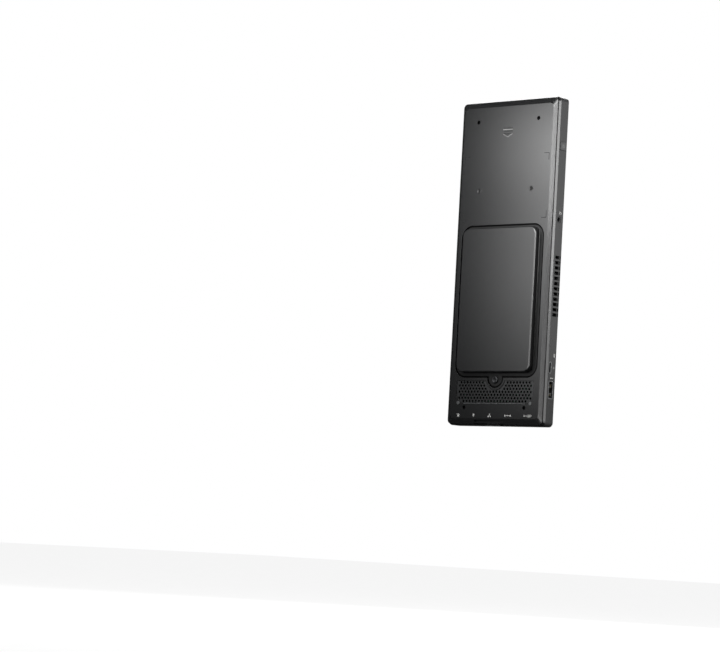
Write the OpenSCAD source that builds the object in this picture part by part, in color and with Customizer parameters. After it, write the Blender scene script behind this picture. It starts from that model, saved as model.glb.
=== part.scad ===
// Slim mini computer module, held by its back in a stand.
// Drawn lying down: x across, y from the port end, z from the back to the face, in mm.
// Every sub-part is then stood up, with the face towards -Y and the ports side at +X.

/* [Body] */
// Width across the side walls
body_w = 96.1; // [95:0.1:104]
// Length from the port end to the top end
body_l = 256.2; // [254:0.1:275]
// Depth from the back to the face
body_t = 15; // [14.6:0.1:17]
// Corner radius of the outline
corner_r = 3.5; // [2.5:0.1:5]
// Thickness of the side walls
wall_t = 1.6; // [1.3:0.05:1.8]
// Thickness of the back
back_t = 1.4; // [1:0.05:1.5]
// Chamfer round the back edge
back_chamfer = 1; // [0.4:0.1:1.4]
// Height of the sloped shoulder below the seam
shoulder_h = 2.2; // [1:0.1:2.6]
// How far the shoulder leans in
shoulder_in = 0.9; // [0.2:0.1:1]
// Clearance between fixed pieces that nest
nest_gap = 0.2; // [0.1:0.05:0.3]
// Clearance round screws and pins that pass through
pass_gap = 0.1; // [0.05:0.05:0.2]

/* [Face cover] */
// Thickness of the face
cover_t = 1.5; // [1.2:0.05:1.7]
// Width of the bevel along the sides
bevel_side = 3.8; // [2:0.1:4.4]
// Width of the bevel along the ends
bevel_end = 5.3; // [3:0.1:6.5]
// Depth of the bevel
bevel_d = 1.5; // [1:0.1:1.7]
// Set-back of the rim from the tray's side
rim_in = 0.9; // [0.1:0.05:1]
// Straight edge below the bevel
rim_h = 0.4; // [0.2:0.05:0.6]
// Height of the seam between cover and tray
seam_gap = 0.5; // [0.3:0.05:0.7]
// Thickness of the lip inside the tray
lip_t = 1; // [0.8:0.05:1.2]
// Depth of the lip below the seam
lip_h = 1.8; // [1:0.1:2]
// Left end of the notch for the stand's latch
latch_left = -19.6; // [-24:0.1:-16]
// Width of the latch notch
latch_w = 29; // [20:0.5:32]
// Reach of the latch notch from the port end
latch_reach = 4; // [2.5:0.1:4.6]
// Depth of the latch notch below the face
latch_d = 2.4; // [1.4:0.1:2.5]
// Corner radius of the latch notch
latch_r = 1.2; // [0.6:0.1:2]
// Thickness of the latch notch's floor
latch_floor = 0.9; // [0.7:0.05:1]
// Radius of the two moulded dimples
dimple_r = 1.5; // [1:0.1:2]
// Depth of the dimples
dimple_d = 0.5; // [0.3:0.05:0.7]
// Half spacing of the dimples
dimple_x = 26.1; // [22:0.1:32]
// Radius of the dimples' floor
dimple_floor_r = 0.9; // [0.4:0.1:0.9]
// Distance of the dimples from the top end
dimple_down = 71.5; // [66:0.1:76]
// Lower pry notches in the seam, above the port end
pry_low = 41; // [38:0.5:60]
// Upper pry notches in the seam, below the top end
pry_down = 105.2; // [95:0.1:110]
// Length of the pry notches
pry_l = 10; // [4:0.5:12]
// Depth of the pry notches into the rim
pry_d = 0.6; // [0.4:0.05:0.7]
// Width of the slide arrow
arrow_w = 9.5; // [6:0.1:12]
// Height of the arrow's two bars
arrow_bar = 1.2; // [0.6:0.1:1.6]
// Height of the arrow's point
arrow_tip = 2.4; // [1.6:0.1:4]
// Space between the arrow's pieces
arrow_space = 1.1; // [0.5:0.1:1.6]
// Distance of the arrow from the top end
arrow_down = 22.2; // [20:0.1:30]
// Depth of the arrow's engraving
arrow_d = 0.3; // [0.1:0.05:0.5]

/* [Drive door] */
// Distance of the door's opening from the sides
door_margin = 6.85; // [6.5:0.05:7.4]
// Distance of the opening from the end of the storage card
door_card_gap = 3.1; // [2.6:0.1:4]
// Corner radius of the opening
door_open_r = 10.3; // [8:0.1:11]
// Distance of the opening from the port end
door_open_y = 37.2; // [37:0.1:39]
// Running gap round the door
door_gap = 1.2; // [0.3:0.05:1.3]
// Depth of the flange below the face
flange_sink = 0.5; // [0.4:0.05:0.9]
// Thickness of the flange
flange_t = 1.2; // [1:0.05:1.4]
// Width of the ledge that carries the flange
ledge_w = 2.2; // [1.5:0.1:2.4]
// Reach of the ledge's rim under the face
ledge_out = 0.9; // [0.6:0.05:1]
// Thickness of the ledge
ledge_t = 1.2; // [1:0.05:1.4]
// Distance of the raised lid from the opening's sides
lid_side = 4.6; // [4:0.1:5.2]
// Distance of the lid from the lower edge of the opening
lid_up = 4.2; // [3.6:0.1:5]
// Distance of the lid from the upper edge of the opening
lid_down = 2.9; // [2.4:0.1:3.6]
// Corner radius of the lid
lid_r = 6.2; // [4.5:0.1:7.5]
// Flare at the foot of the lid
lid_foot = 0.5; // [0.2:0.05:0.7]
// Rise of the lid above the face
lid_rise = 4.7; // [4.6:0.1:6]
// Wall thickness of the lid
lid_wall = 1.2; // [1:0.05:1.3]
// Rounding along the top edge of the lid
lid_edge = 0.8; // [0.3:0.1:1.1]
// Radius of the pocket for the door's tongue
tongue_r = 8; // [7.6:0.1:8.6]
// Distance of the tongue screw below the opening's edge
tongue_screw_down = 1.6; // [0.8:0.1:2.2]

/* [Drive] */
// Gap between the drive and the lid's sides
drive_side_gap = 0.475; // [0.4:0.025:0.6]
// Thickness of the drive
drive_t = 7; // [6.5:0.1:7.2]
// Gap between the drive and the lid's end
drive_end_gap = 0.8; // [0.5:0.1:1.2]
// Gap between the plug and the lid's upper end
plug_end_gap = 3.7; // [3:0.1:4.4]
// Sheet thickness of the bracket
bracket_t = 0.6; // [0.5:0.05:0.8]
// Width of the long openings in the bracket
bracket_open_w = 20; // [12:0.5:24]
// Rib between those openings
bracket_rib = 4; // [3:0.5:8]
// Distance of the drive screws from the drive's sides
drive_screw_side = 4.065; // [3.4:0.005:6]
// Distance of the drive screws from the drive's ends
drive_screw_end = 12; // [9:0.1:16]
// Depth of the drive screws in the drive
drive_screw_l = 2.4; // [1.5:0.1:2.6]
// Head height of the drive screws
drive_screw_h = 0.8; // [0.5:0.05:1]
// Width of the plug on the drive
drive_plug_w = 42; // [36:0.5:46]
// Length of the plug along the drive
drive_plug_l = 6; // [5:0.1:7]
// Height of the plug
drive_plug_h = 4.6; // [4:0.1:5]
// Thickness of the plug blade
drive_blade_t = 3; // [2:0.1:3.4]
// Width of the plug blade
drive_blade_w = 34; // [28:0.5:35]
// Clearance of the blade in its socket
drive_blade_gap = 0.3; // [0.2:0.05:0.4]
// Height of the blade's tip above the board
blade_up = 1.6; // [1.2:0.1:2]
// Wall thickness of the drive's socket
socket_wall = 1.2; // [0.8:0.1:1.4]
// Gap between that socket and the bracket
socket_drop = 1; // [0.6:0.1:1.4]

/* [Intake grille] */
// Rows of holes
grille_rows = 7; // [5:1:7]
// Spacing of the holes along a row
grille_pitch_x = 3.1; // [2.8:0.05:4]
// Spacing of the rows
grille_pitch_y = 2.42; // [2.3:0.01:2.45]
// Diameter of the holes
grille_hole = 1.8; // [1:0.1:1.9]
// Half width of the perforated window
grille_half_w = 38.4; // [36:0.1:40]
// Upper edge of the window above the port end
grille_top = 34.9; // [34.6:0.1:35.2]
// Lower edge of the window above the port end
grille_low = 17.5; // [17.2:0.1:17.8]
// Cut at the lower corners of the window
grille_corner = 5; // [2:0.1:6]
// Depth of the grille's surface below the face
grille_sink = 0.5; // [0.2:0.05:0.6]
// Thickness of the grille's flange behind the face
grille_flange_t = 0.8; // [0.6:0.05:1]
// Overlap of the flange behind the face
grille_flange_w = 1; // [0.6:0.1:1.2]
// Plain border round the holes
grille_border = 0.5; // [0.3:0.05:0.8]
// Web between the window and the tongue's pocket
grille_web = 1.6; // [1.4:0.1:2]
// Half spacing of the two stake heads
stake_x = 36; // [34.5:0.1:38]
// Height of the stake heads above the port end
stake_y = 17.35; // [16.5:0.05:17.6]
// Radius of the stake heads
stake_r = 1.4; // [1.2:0.1:1.6]
// Radius of the stakes in the face
stake_pin_r = 1; // [0.7:0.05:1.1]
// Rise of the stake heads above the face
stake_rise = 0.3; // [0.2:0.05:0.5]

/* [Side vents] */
// Slots in each row of vents
vent_count = 12; // [8:1:12]
// Spacing of the slots
vent_pitch = 4.05; // [3.6:0.05:4.2]
// Height of each slot
vent_slot = 2.6; // [1.6:0.1:2.8]
// Inner edge of the open slots above the back
vent_low = 3.5; // [3.2:0.1:4]
// Length of the open slots
vent_l = 4.9; // [3:0.1:5.4]
// Length of the blind slots beside them
vent_blind_l = 1.6; // [1:0.1:1.8]
// Rib between open and blind slots
vent_rib = 0.5; // [0.3:0.1:0.8]
// Depth of the blind slots
vent_blind_d = 0.7; // [0.3:0.05:0.9]

/* [Power button] */
// Length of the button along the side
button_l = 6.2; // [5:0.1:7]
// Width of the button across the side
button_w = 7; // [5:0.1:7.2]
// Distance of the button's centre from the top end
button_down = 38.4; // [35:0.1:42]
// Centre of the button above the back
button_z = 5.6; // [5.4:0.1:5.8]
// Corner radius of the button
button_r = 1; // [0.5:0.1:1.6]
// Rise of the button out of the side
button_rise = 0.4; // [0.1:0.05:0.8]
// Clearance round the button
button_gap = 0.25; // [0.15:0.05:0.35]
// Travel of the button
button_travel = 0.6; // [0.3:0.1:0.8]
// Margin of the flange behind the wall
button_flange = 0.9; // [0.6:0.1:1.1]
// Thickness of that flange
button_flange_t = 0.8; // [0.6:0.1:1]
// Side of the square stem
button_stem = 2.4; // [1.8:0.1:3]
// Length of the stem
button_stem_l = 2; // [1.5:0.1:2.5]
// Length of the switch body
switch_l = 4; // [3.5:0.1:4.5]
// Width of the switch body
switch_w = 6; // [5:0.1:7]
// Height of the switch body
switch_h = 3.6; // [3:0.1:4]
// Travel of the switch's plunger
plunger_l = 0.4; // [0.3:0.05:0.6]

/* [Ports] */
// Depth of the port mouths inside the wall's face
port_sink = 0.3; // [0.1:0.05:0.5]
// Clearance round each port
port_gap = 0.2; // [0.1:0.05:0.3]
// Shell thickness of the flat ports
shell_t = 0.3; // [0.25:0.05:0.4]
// Width of the wide flat ports
flat_w = 13.7; // [13:0.1:14]
// Height of the wide flat ports
flat_h = 5.7; // [5.2:0.1:6]
// Length of the wide flat ports
flat_l = 13.5; // [11:0.1:14]
// Thickness of the tongue in the wide flat ports
flat_tongue_t = 1.8; // [1.4:0.1:2]
// Space beside that tongue
flat_tongue_side = 0.8; // [0.5:0.1:1.2]
// Space above that tongue
flat_tongue_lift = 0.3; // [0.2:0.05:0.5]
// Depth of that tongue's tip in the port
flat_tongue_sink = 1.5; // [1:0.1:2]
// Length of the block behind that tongue
flat_block_l = 2.6; // [2:0.1:3]
// Width of the small oval ports
oval_w = 9; // [8.6:0.1:9.2]
// Height of the small oval ports
oval_h = 3.2; // [3:0.05:3.3]
// Length of the small oval ports
oval_l = 7.6; // [6.5:0.1:8]
// Thickness of the tongue in the small oval ports
oval_tongue_t = 0.7; // [0.5:0.05:0.9]
// Overhang of that tongue past its block
oval_tongue_side = 0.2; // [0.1:0.05:0.4]
// Depth of that tongue's tip in the port
oval_tongue_sink = 1; // [0.6:0.1:1.4]
// Length of the block behind that tongue
oval_block_l = 1.8; // [1.4:0.1:2]
// Height of the side oval port above the port end
side_oval_y = 45.75; // [45:0.05:47]
// Height of the side flat port above the port end
side_flat_y = 28.55; // [28:0.05:30]
// Distance of the audio jack from the top end
audio_down = 95.7; // [94.2:0.1:96.2]
// Centre of the audio jack above the board's lower face
audio_up = 1.3; // [1:0.05:1.35]
// Bore radius of the audio jack
audio_r = 1.8; // [1.75:0.05:1.9]
// Outer radius of the audio jack's collar
audio_collar_r = 2.6; // [2.3:0.05:2.8]
// Length of the audio jack
audio_l = 12.5; // [11:0.1:13.5]
// Thickness of the audio jack's closed end
audio_end = 1; // [0.6:0.1:1.4]
// Body width of the audio jack
audio_w = 6.4; // [5.8:0.1:7]
// Body height of the audio jack
audio_h = 4.8; // [4.5:0.1:4.9]
// Distance of the lock slot from the left side
lock_side = 12.85; // [12.4:0.05:14]
// Length of the lock slot
lock_l = 7.2; // [6:0.1:7.6]
// Width of the lock slot
lock_w = 3.2; // [2.6:0.1:3.4]
// Thickness of the plate behind the lock slot
lock_plate_t = 1.2; // [0.8:0.1:1.5]
// Margin of that plate round the slot
lock_margin = 2.2; // [1.5:0.1:2.4]
// Centre of the power inlet across the port end
dc_x = -19.8; // [-20.5:0.1:-19]
// Bore radius of the power inlet
dc_bore_r = 2.75; // [2.3:0.05:3]
// Pin radius in the power inlet
dc_pin_r = 0.5; // [0.3:0.05:0.7]
// Body width of the power inlet
dc_w = 8.6; // [7.6:0.1:9]
// Body length of the power inlet
dc_l = 12; // [10:0.1:13]
// Thickness of the power inlet's closed end
dc_end = 1.4; // [1:0.1:1.8]
// Depth of the pin's tip in the power inlet
dc_pin_sink = 1.5; // [1:0.1:2.5]
// Collar radius of the power inlet
dc_collar_r = 3.6; // [3.2:0.05:3.8]
// Centre of the network jack across the port end
lan_x = -3.8; // [-4.4:0.1:-3.2]
// Width of the network jack
lan_w = 15.6; // [14.5:0.1:16]
// Height of the network jack
lan_h = 9.8; // [9.4:0.1:10]
// Length of the network jack
lan_l = 13.2; // [12:0.1:13.6]
// Thickness of the network jack's roof
lan_roof = 0.8; // [0.6:0.05:0.9]
// Width of the plug cavity in the network jack
lan_cave_w = 11.9; // [11.5:0.1:12.2]
// Height of the plug cavity
lan_cave_h = 6.7; // [6.4:0.1:6.9]
// Depth of the plug cavity
lan_cave_l = 11.4; // [10:0.1:12]
// Width of the latch channel
lan_latch_w = 6.2; // [5:0.1:6.6]
// Depth of the latch channel
lan_latch_h = 1.5; // [1:0.1:1.7]
// Spacing of the eight contacts
lan_contact_pitch = 1.02; // [0.9:0.01:1.2]
// Width of a contact
lan_contact_w = 0.4; // [0.3:0.05:0.5]
// Thickness of a contact
lan_contact_t = 0.3; // [0.2:0.05:0.4]
// Space between the contacts and the roof
lan_contact_drop = 0.5; // [0.2:0.05:0.8]
// Depth of the contacts' tips in the jack
lan_contact_sink = 4; // [3:0.1:6]
// Centre of the end flat port across the port end
end_flat_x = 14.4; // [13.8:0.1:15]
// Distance of the end oval port from the right side
end_oval_side = 13.95; // [13.2:0.05:14.6]
// Centre of the flat ports above the board's lower face
flat_up = 0.8; // [0.6:0.05:1]

/* [Board] */
// Thickness of the board
board_t = 1.2; // [1:0.05:1.3]
// Depth of the board's lower face below the face
board_down = 10; // [9.9:0.05:10.2]
// Gap between the board and the walls
board_gap = 0.8; // [0.5:0.1:1]
// Distance of the board screws from the walls
board_screw_side = 4.95; // [4.4:0.05:5.4]
// Distance of the lower board screws from the oval port in the side
board_screw_above = 6; // [4:0.5:8]
// Upper board screws below the top end
board_screw_down = 114.2; // [109:0.1:116]
// Depth of the board screws in their posts
board_screw_l = 2; // [1.4:0.1:2.4]
// Half width of the processor
cpu_half_w = 20; // [16:0.5:21]
// Half length of the processor
cpu_half_l = 12; // [10:0.5:13]
// Centre of the processor across
cpu_x = 4; // [2:0.5:6]
// Gap between the processor and the memory
cpu_gap = 5.2; // [3.2:0.1:7.2]
// Half width of the processor's die
die_half_w = 12; // [8:0.5:14]
// Half length of the processor's die
die_half_l = 6; // [4:0.5:8]
// Thickness of the processor's carrier
cpu_carrier_t = 0.9; // [0.7:0.05:1.2]
// Height of the processor
cpu_h = 1.5; // [1.45:0.05:1.7]
// Height of the small parts on the board
chip_h = 1.4; // [0.8:0.1:1.6]
// Thickness of the shield under the drive
shield_t = 0.5; // [0.4:0.05:0.6]
// Gap between the shield and the bracket
shield_drop = 1.6; // [1.5:0.05:1.7]
// Gap between the shield and the ledge beside it
shield_gap = 1; // [0.8:0.1:1.4]
// Width of the shield's legs
shield_leg = 2.4; // [1.8:0.1:3]
// Side of the square lightening holes in the shield
shield_hole = 12; // [6:0.5:14]

/* [Cooling] */
// Gap between the fins and the side wall
fin_side_gap = 1.15; // [0.8:0.05:1.4]
// Gap between the blower and the drive's socket
fan_drop = 12; // [11:0.1:13]
// Radius of the blower's rotor
rotor_r = 20; // [17:0.5:21]
// Radius of the rotor's hub
hub_r = 8.5; // [7:0.5:10]
// Blades on the rotor
blade_count = 29; // [19:2:31]
// Thickness of a blade
blade_t = 0.5; // [0.4:0.05:0.7]
// Lean of the blades
blade_lean = 35; // [20:1:40]
// Gap between the rotor and the housing's wall
rotor_gap = 2; // [1.5:0.1:2.5]
// Wall thickness of the blower
fan_wall = 0.8; // [0.6:0.05:1]
// Floor and cover thickness of the blower
fan_floor = 0.5; // [0.4:0.05:0.6]
// Gap between the blower and the shield
fan_gap = 1.4; // [1.2:0.1:1.8]
// Gap below the rotor
rotor_low_gap = 0.4; // [0.3:0.05:0.6]
// Gap above the rotor
rotor_high_gap = 0.5; // [0.3:0.05:0.7]
// Root of the blades inside the hub
blade_root = 1; // [0.5:0.1:1.5]
// Radius of the blower's air inlet
inlet_r = 13; // [10.5:0.5:15]
// Radius of the motor's pin
pin_r = 1; // [0.8:0.05:1.2]
// Clearance of the rotor on its pin
pin_gap = 0.05; // [0.03:0.01:0.08]
// Length of the duct between the rotor's housing and the fins
fan_duct = 7.7; // [7.5:0.1:8]
// Width of the fin stack
fin_w = 8.6; // [7:0.1:9]
// Fins in the stack
fin_count = 26; // [16:1:28]
// Thickness of a fin
fin_t = 0.4; // [0.3:0.05:0.5]
// Width of the heat pipe
pipe_w = 6; // [5:0.1:6.4]
// Thickness of the heat pipe
pipe_t = 1.8; // [1.4:0.1:2]
// Bend radius of the heat pipe
pipe_bend = 11; // [9:0.5:12]
// Distance of the heat pipe's lower end from the end of the fins
pipe_low = 2; // [1:0.1:6]
// Reach of the heat pipe past the processor's centre
pipe_reach = 14; // [10:0.5:16]
// Thickness of the cold plate
plate_t = 1.2; // [1.15:0.05:1.4]

/* [Memory and cards] */
// Length of a memory module
memory_w = 67.6; // [66:0.1:68]
// Height of a memory module
memory_l = 30; // [28:0.1:30.2]
// Thickness of a module's board
memory_t = 1; // [0.8:0.05:1.1]
// Thickness of the memory socket's ends
memory_socket_end = 1.4; // [1.2:0.1:1.7]
// Depth of the memory socket
memory_socket_l = 6; // [5:0.1:6.4]
// Height of the memory socket
memory_socket_h = 6.8; // [6.6:0.05:6.9]
// Gap between the memory socket and the radio card
memory_gap = 1.4; // [1.2:0.1:2.3]
// Height of the lower module above the board
memory_up = 1.4; // [1.2:0.1:1.6]
// Chips on a module
memory_chips = 4; // [2:1:5]
// Width of a chip on a module
memory_chip_w = 8; // [6:0.5:9]
// Length of a chip on a module
memory_chip_l = 12; // [8:0.5:14]
// Height of a chip on a module or card
card_chip_h = 0.9; // [0.6:0.05:1.1]
// Distance of the chips from a module's edges
memory_chip_in = 4; // [3:0.1:5]
// Distance of the chips from a module's free edge
memory_chip_up = 6; // [4:0.1:8]
// Depth of a module in its socket
memory_seat = 3.6; // [2.5:0.1:4]
// Spacing of the two modules
memory_step = 3.4; // [3:0.1:3.5]
// Width of the plug-in cards
card_w = 22; // [21:0.1:22.2]
// Length of the plug-in cards
card_l = 30; // [28:0.1:30.5]
// Thickness of a card's board
card_t = 0.8; // [0.6:0.05:1]
// Length of the card sockets
card_socket_l = 4.5; // [3.5:0.1:5]
// Height of the card sockets
card_socket_h = 3.2; // [2.8:0.1:3.4]
// Height of a card above the board
card_up = 1.2; // [1:0.05:1.4]
// Depth of a card in its socket
card_seat = 2; // [1.5:0.1:2.6]
// Width of the chip on a card
card_chip_w = 15.8; // [12:0.1:18]
// Length of the chip on a card
card_chip_l = 15; // [10:0.1:18]
// Wall of the card sockets beside a card
card_socket_end = 1; // [0.6:0.1:1.2]
// Wall of the standoffs under the cards
standoff_wall = 1; // [0.6:0.1:1.2]
// Distance of the storage card from the board's edge
storage_side = 1.15; // [0.7:0.05:1.6]
// Gap between the storage card's socket and the memory
storage_gap = 2.2; // [1.4:0.1:2.7]
// Left end of the radio card
radio_x = -23; // [-23.5:0.1:-22]
// Distance of the radio card from the board's upper edge
radio_gap = 1.8; // [1.6:0.1:2.4]
// Radius of the coin cell
cell_r = 6.25; // [5.8:0.05:6.4]
// Thickness of the coin cell
cell_t = 2; // [1.6:0.1:2.4]
// Centre of the coin cell across
cell_x = 18.2; // [17.8:0.1:18.6]
// Distance of the coin cell's centre from the top end
cell_down = 15.2; // [13.2:0.1:17.2]
// Floor and rim thickness of the cell's holder
cell_floor = 0.6; // [0.4:0.05:0.8]
// Wall thickness of the cell's holder
cell_wall = 1.2; // [0.8:0.1:1.4]
// Distance of the antennas from the middle
antenna_x = 12; // [10:0.5:15]
// Thickness of the antennas
antenna_t = 0.8; // [0.6:0.05:1]
// Length of the antennas
antenna_l = 28; // [20:0.5:30]
// Width of the antennas
antenna_w = 7; // [6:0.1:7.2]
// Radius of the antenna leads
lead_r = 0.55; // [0.4:0.05:0.6]
// Wall of the plugs on the leads
lead_plug = 0.3; // [0.2:0.05:0.4]
// Height of the leads above the card
lead_up = 1.2; // [1:0.1:1.4]
// Distance of the first lead from the card's end
lead_in = 3; // [2:0.1:5]
// Spacing of the two leads across
lead_step = 2.4; // [2.2:0.1:3]
// Distance of the first lead from the card's upper side
lead_down = 4.2; // [4:0.1:5]
// Spacing of the leads' plugs along the card's end
lead_rise = 2.6; // [2.4:0.1:3]
// Gap between the long lead and the antennas
lead_gap = 0.35; // [0.2:0.05:0.5]
// Reach of the long lead along its antenna
lead_reach = 2; // [1:0.1:4]

/* [Fasteners] */
// Half spacing of the cover screws
cover_screw_x = 30; // [29:0.1:31]
// Lower cover screws from the port end
cover_screw_low = 13.9; // [13.6:0.1:14.2]
// Upper cover screws from the top end
cover_screw_top = 16.5; // [16:0.1:17]
// Radius of the wells over the cover screws
screw_well_r = 1.6; // [1.5:0.05:1.8]
// Head radius of the small screws
screw_head_r = 1.4; // [1.2:0.05:1.45]
// Head height of the small screws
screw_head_h = 1; // [0.8:0.05:1.2]
// Shank radius of the small screws
screw_r = 0.8; // [0.6:0.05:0.9]
// Depth of the cover screws in their posts
cover_screw_l = 5; // [4:0.1:5.4]
// Width of the cross in the small screws' heads
screw_cross = 0.4; // [0.3:0.05:0.5]
// Length of that cross
screw_cross_l = 1.8; // [1.4:0.1:2]
// Web under the wells of the cover screws
well_up = 0.3; // [0.2:0.05:0.4]
// Thickness of the cover under a screw's head
well_web = 0.8; // [0.6:0.05:1]
// Space below the tips of the screws
tip_gap = 0.5; // [0.3:0.1:0.9]
// Radius of the cover posts
post_r = 3; // [2.6:0.1:3.2]
// Radius of the board posts
board_post_r = 2.6; // [2:0.1:2.8]
// Head radius of the tongue screw
tongue_head_r = 2.75; // [2.4:0.05:3]
// Clearance round the captive screw's head
tongue_head_gap = 0.25; // [0.15:0.05:0.4]
// Head height of the tongue screw
tongue_head_h = 1.6; // [1.2:0.1:1.8]
// Shank radius of the tongue screw
tongue_shank_r = 1.2; // [1:0.05:1.3]
// Clearance of the tongue screw in its holes
tongue_shank_gap = 0.08; // [0.06:0.01:0.1]
// Length of the tongue screw below its head
tongue_shank_l = 6.4; // [5.8:0.1:6.8]
// Width of the slot across the tongue screw's head
tongue_slot = 0.8; // [0.5:0.05:1.1]
// Length of that slot
tongue_slot_l = 3.3; // [2.4:0.1:4]
// Floor under the tongue screw's hole
tongue_floor = 0.6; // [0.4:0.05:0.8]
// Thickness of the clip that keeps the tongue screw
clip_t = 0.5; // [0.4:0.05:0.6]
// Radius of that clip
clip_r = 2.2; // [1.9:0.05:2.5]

/* [Hidden] */
$fn = 48;
over = 0.5;
half_w = body_w / 2;
in_w = body_w - 2 * wall_t;
in_l = body_l - 2 * wall_t;
in_half = in_w / 2;
in_r = corner_r - wall_t / 2;
rim_z = body_t - bevel_d - rim_h;
seam_z = rim_z - seam_gap;
cover_z = body_t - cover_t;
lip_z = seam_z - lip_h;
latch_z = body_t - latch_d;
pry_spots = [pry_low, body_l - pry_down];
flange_z = body_t - flange_sink - flange_t;
ledge_z = flange_z - ledge_t;
board_low_y = wall_t + board_gap;
board_high_y = body_l - wall_t - board_gap - antenna_t;
radio_y = board_high_y - radio_gap - card_w;
memory_socket_y = radio_y - memory_gap - memory_socket_l;
memory_y = memory_socket_y + memory_seat - memory_l;
storage_y = memory_y - nest_gap - storage_gap - card_socket_l + card_seat - card_l;
door_open_w = body_w - 2 * door_margin;
door_open_l = storage_y - door_card_gap - door_open_y;
door_mid_y = door_open_y + door_open_l / 2;
lid_w = door_open_w - 2 * lid_side;
lid_l = door_open_l - lid_up - lid_down;
lid_y = door_open_y + lid_up;
lid_mid_y = lid_y + lid_l / 2;
lid_top = body_t + lid_rise;
lid_in = lid_top - lid_wall;
lid_in_r = lid_r - lid_wall;
tongue_y = door_open_y;
tongue_screw_y = door_open_y - tongue_screw_down;
tongue_head_z = flange_z + flange_t / 2;
drive_w = lid_w - 2 * (lid_wall + drive_side_gap);
drive_l = lid_l - 2 * lid_wall - drive_end_gap - drive_plug_l - plug_end_gap;
drive_r = lid_in_r - drive_end_gap;
drive_top = lid_in - nest_gap;
drive_z = drive_top - drive_t;
drive_y = lid_y + lid_wall + drive_end_gap;
drive_screw_x = drive_w / 2 - drive_screw_side;
drive_spots = [for (x = [-drive_screw_x, drive_screw_x],
    y = [drive_y + drive_screw_end, drive_y + drive_l - drive_screw_end]) [x, y]];
bracket_z = drive_z - bracket_t;
bracket_half = lid_w / 2;
plug_y = drive_y + drive_l;
plug_z = drive_z + bracket_t;
board_z = body_t - board_down;
board_top = board_z + board_t;
blade_y = plug_y + drive_plug_l / 2;
blade_low = board_top + blade_up;
socket_half = drive_blade_w / 2 + drive_blade_gap + socket_wall;
socket_depth = drive_blade_t / 2 + drive_blade_gap + socket_wall;
cover_screw_high = body_l - cover_screw_top;
screw_spots = [for (x = [-cover_screw_x, cover_screw_x], y = [cover_screw_low, cover_screw_high]) [x, y]];
well_floor = ledge_z + well_up;
post_top = well_floor - well_web - pass_gap;
shield_z = bracket_z - shield_drop - shield_t;
fan_z = back_t + nest_gap;
fan_h = shield_z - fan_gap - fan_z;
fan_top = fan_z + fan_h;
fan_r = rotor_r + rotor_gap + fan_wall;
fin_x = in_half - fin_side_gap - fin_w;
fin_half_l = fan_r;
fan_exit = fin_x - nest_gap;
fan_x = fan_exit - fan_duct - fan_r;
fan_y = blade_y - socket_depth - fan_drop - fan_r;
vent_run = (vent_count - 1) * vent_pitch + vent_slot;
vent_y = fan_y - vent_run / 2;
board_screw_x = in_half - board_screw_side;
board_spots = [for (x = [-board_screw_x, board_screw_x],
    y = [side_oval_y + oval_w / 2 + board_screw_above, body_l - board_screw_down]) [x, y]];
shield_half_w = fin_x - nest_gap;
cpu_y = memory_y - nest_gap - cpu_gap - cpu_half_l;
pipe_z = board_top + cpu_h + plate_t;
pipe_x = fin_x + fin_w / 2;
button_y = body_l - button_down;
button_end = half_w + button_rise;
flange_x = in_half - nest_gap - button_flange_t;
stem_end = flange_x - button_stem_l;
switch_x = stem_end - button_travel - pass_gap - switch_l;
oval_z = board_top + pass_gap + oval_h / 2;
flat_z = board_z + flat_up;
audio_y = body_l - audio_down;
audio_z = board_z + audio_up;
lock_x = lock_side - half_w;
lock_z = (back_t + lip_z) / 2;
dc_z = back_t + nest_gap + dc_w / 2;
end_oval_x = half_w - end_oval_side;
lan_z = back_t + nest_gap + lan_h / 2;
port_x = half_w - port_sink;
collar_l = wall_t - port_sink + nest_gap;
memory_z = board_top + memory_up;
storage_x = board_gap + storage_side + card_w / 2 - in_half;
card_z = board_top + card_up;
card_top = card_z + card_t;
cell_y = body_l - cell_down;
antenna_z = lip_z - 2 * nest_gap - antenna_w;
grille_hub_r = tongue_r + grille_web;
clip_fit = 0.02;
// Chips on the board as across, along, width and length, from the port end, the blower and the top end
low_chips = [[-30, 30, 9, 9], [-14, 28, 7, 7], [14, 30, 6, 8], [-35, 48, 10, 6], [-20, 46, 12, 12],
    [2, 50, 8, 6], [18, 48, 7, 7]];
fan_chips = [[-30, -39, 6, 12], [-10, -41, 9, 7], [12, -43, 14, 5], [-30, -14, 10, 10],
    [-34, 6, 6, 6], [-28, 19, 8, 6]];
top_chips = [[30, -113, 6, 6], [-28, -106, 9, 7]];
chips = concat(low_chips,
    [for (c = fan_chips) [c[0], fan_y + c[1], c[2], c[3]]],
    [for (c = top_chips) [c[0], body_l + c[1], c[2], c[3]]]);

// From lying on its back to standing, with the origin in the middle of the back
module stand_up() {
    translate([0, 0, -body_l / 2])
        rotate([90, 0, 0])
            children();
}

// Outlines and prisms
module round_rect(w, l, r) {
    square([w - 2 * r, l], center = true);
    square([w, l - 2 * r], center = true);
    for (x = [-1, 1], y = [-1, 1])
        translate([x * (w / 2 - r), y * (l / 2 - r)])
            circle(r = r);
}

module oval(l, w) {
    square([l - w, w], center = true);
    for (x = [-1, 1])
        translate([x * (l - w) / 2, 0])
            circle(r = w / 2);
}

module block(x0, x1, y0, y1, z0, z1) {
    translate([x0, y0, z0])
        cube([x1 - x0, y1 - y0, z1 - z0]);
}

module rod(x, y, z0, z1, r) {
    translate([x, y, z0])
        cylinder(r = r, h = z1 - z0);
}

module slab(w, l, r, mid_y, z0, z1) {
    translate([0, mid_y, z0])
        linear_extrude(z1 - z0)
            round_rect(w, l, r);
}

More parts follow.
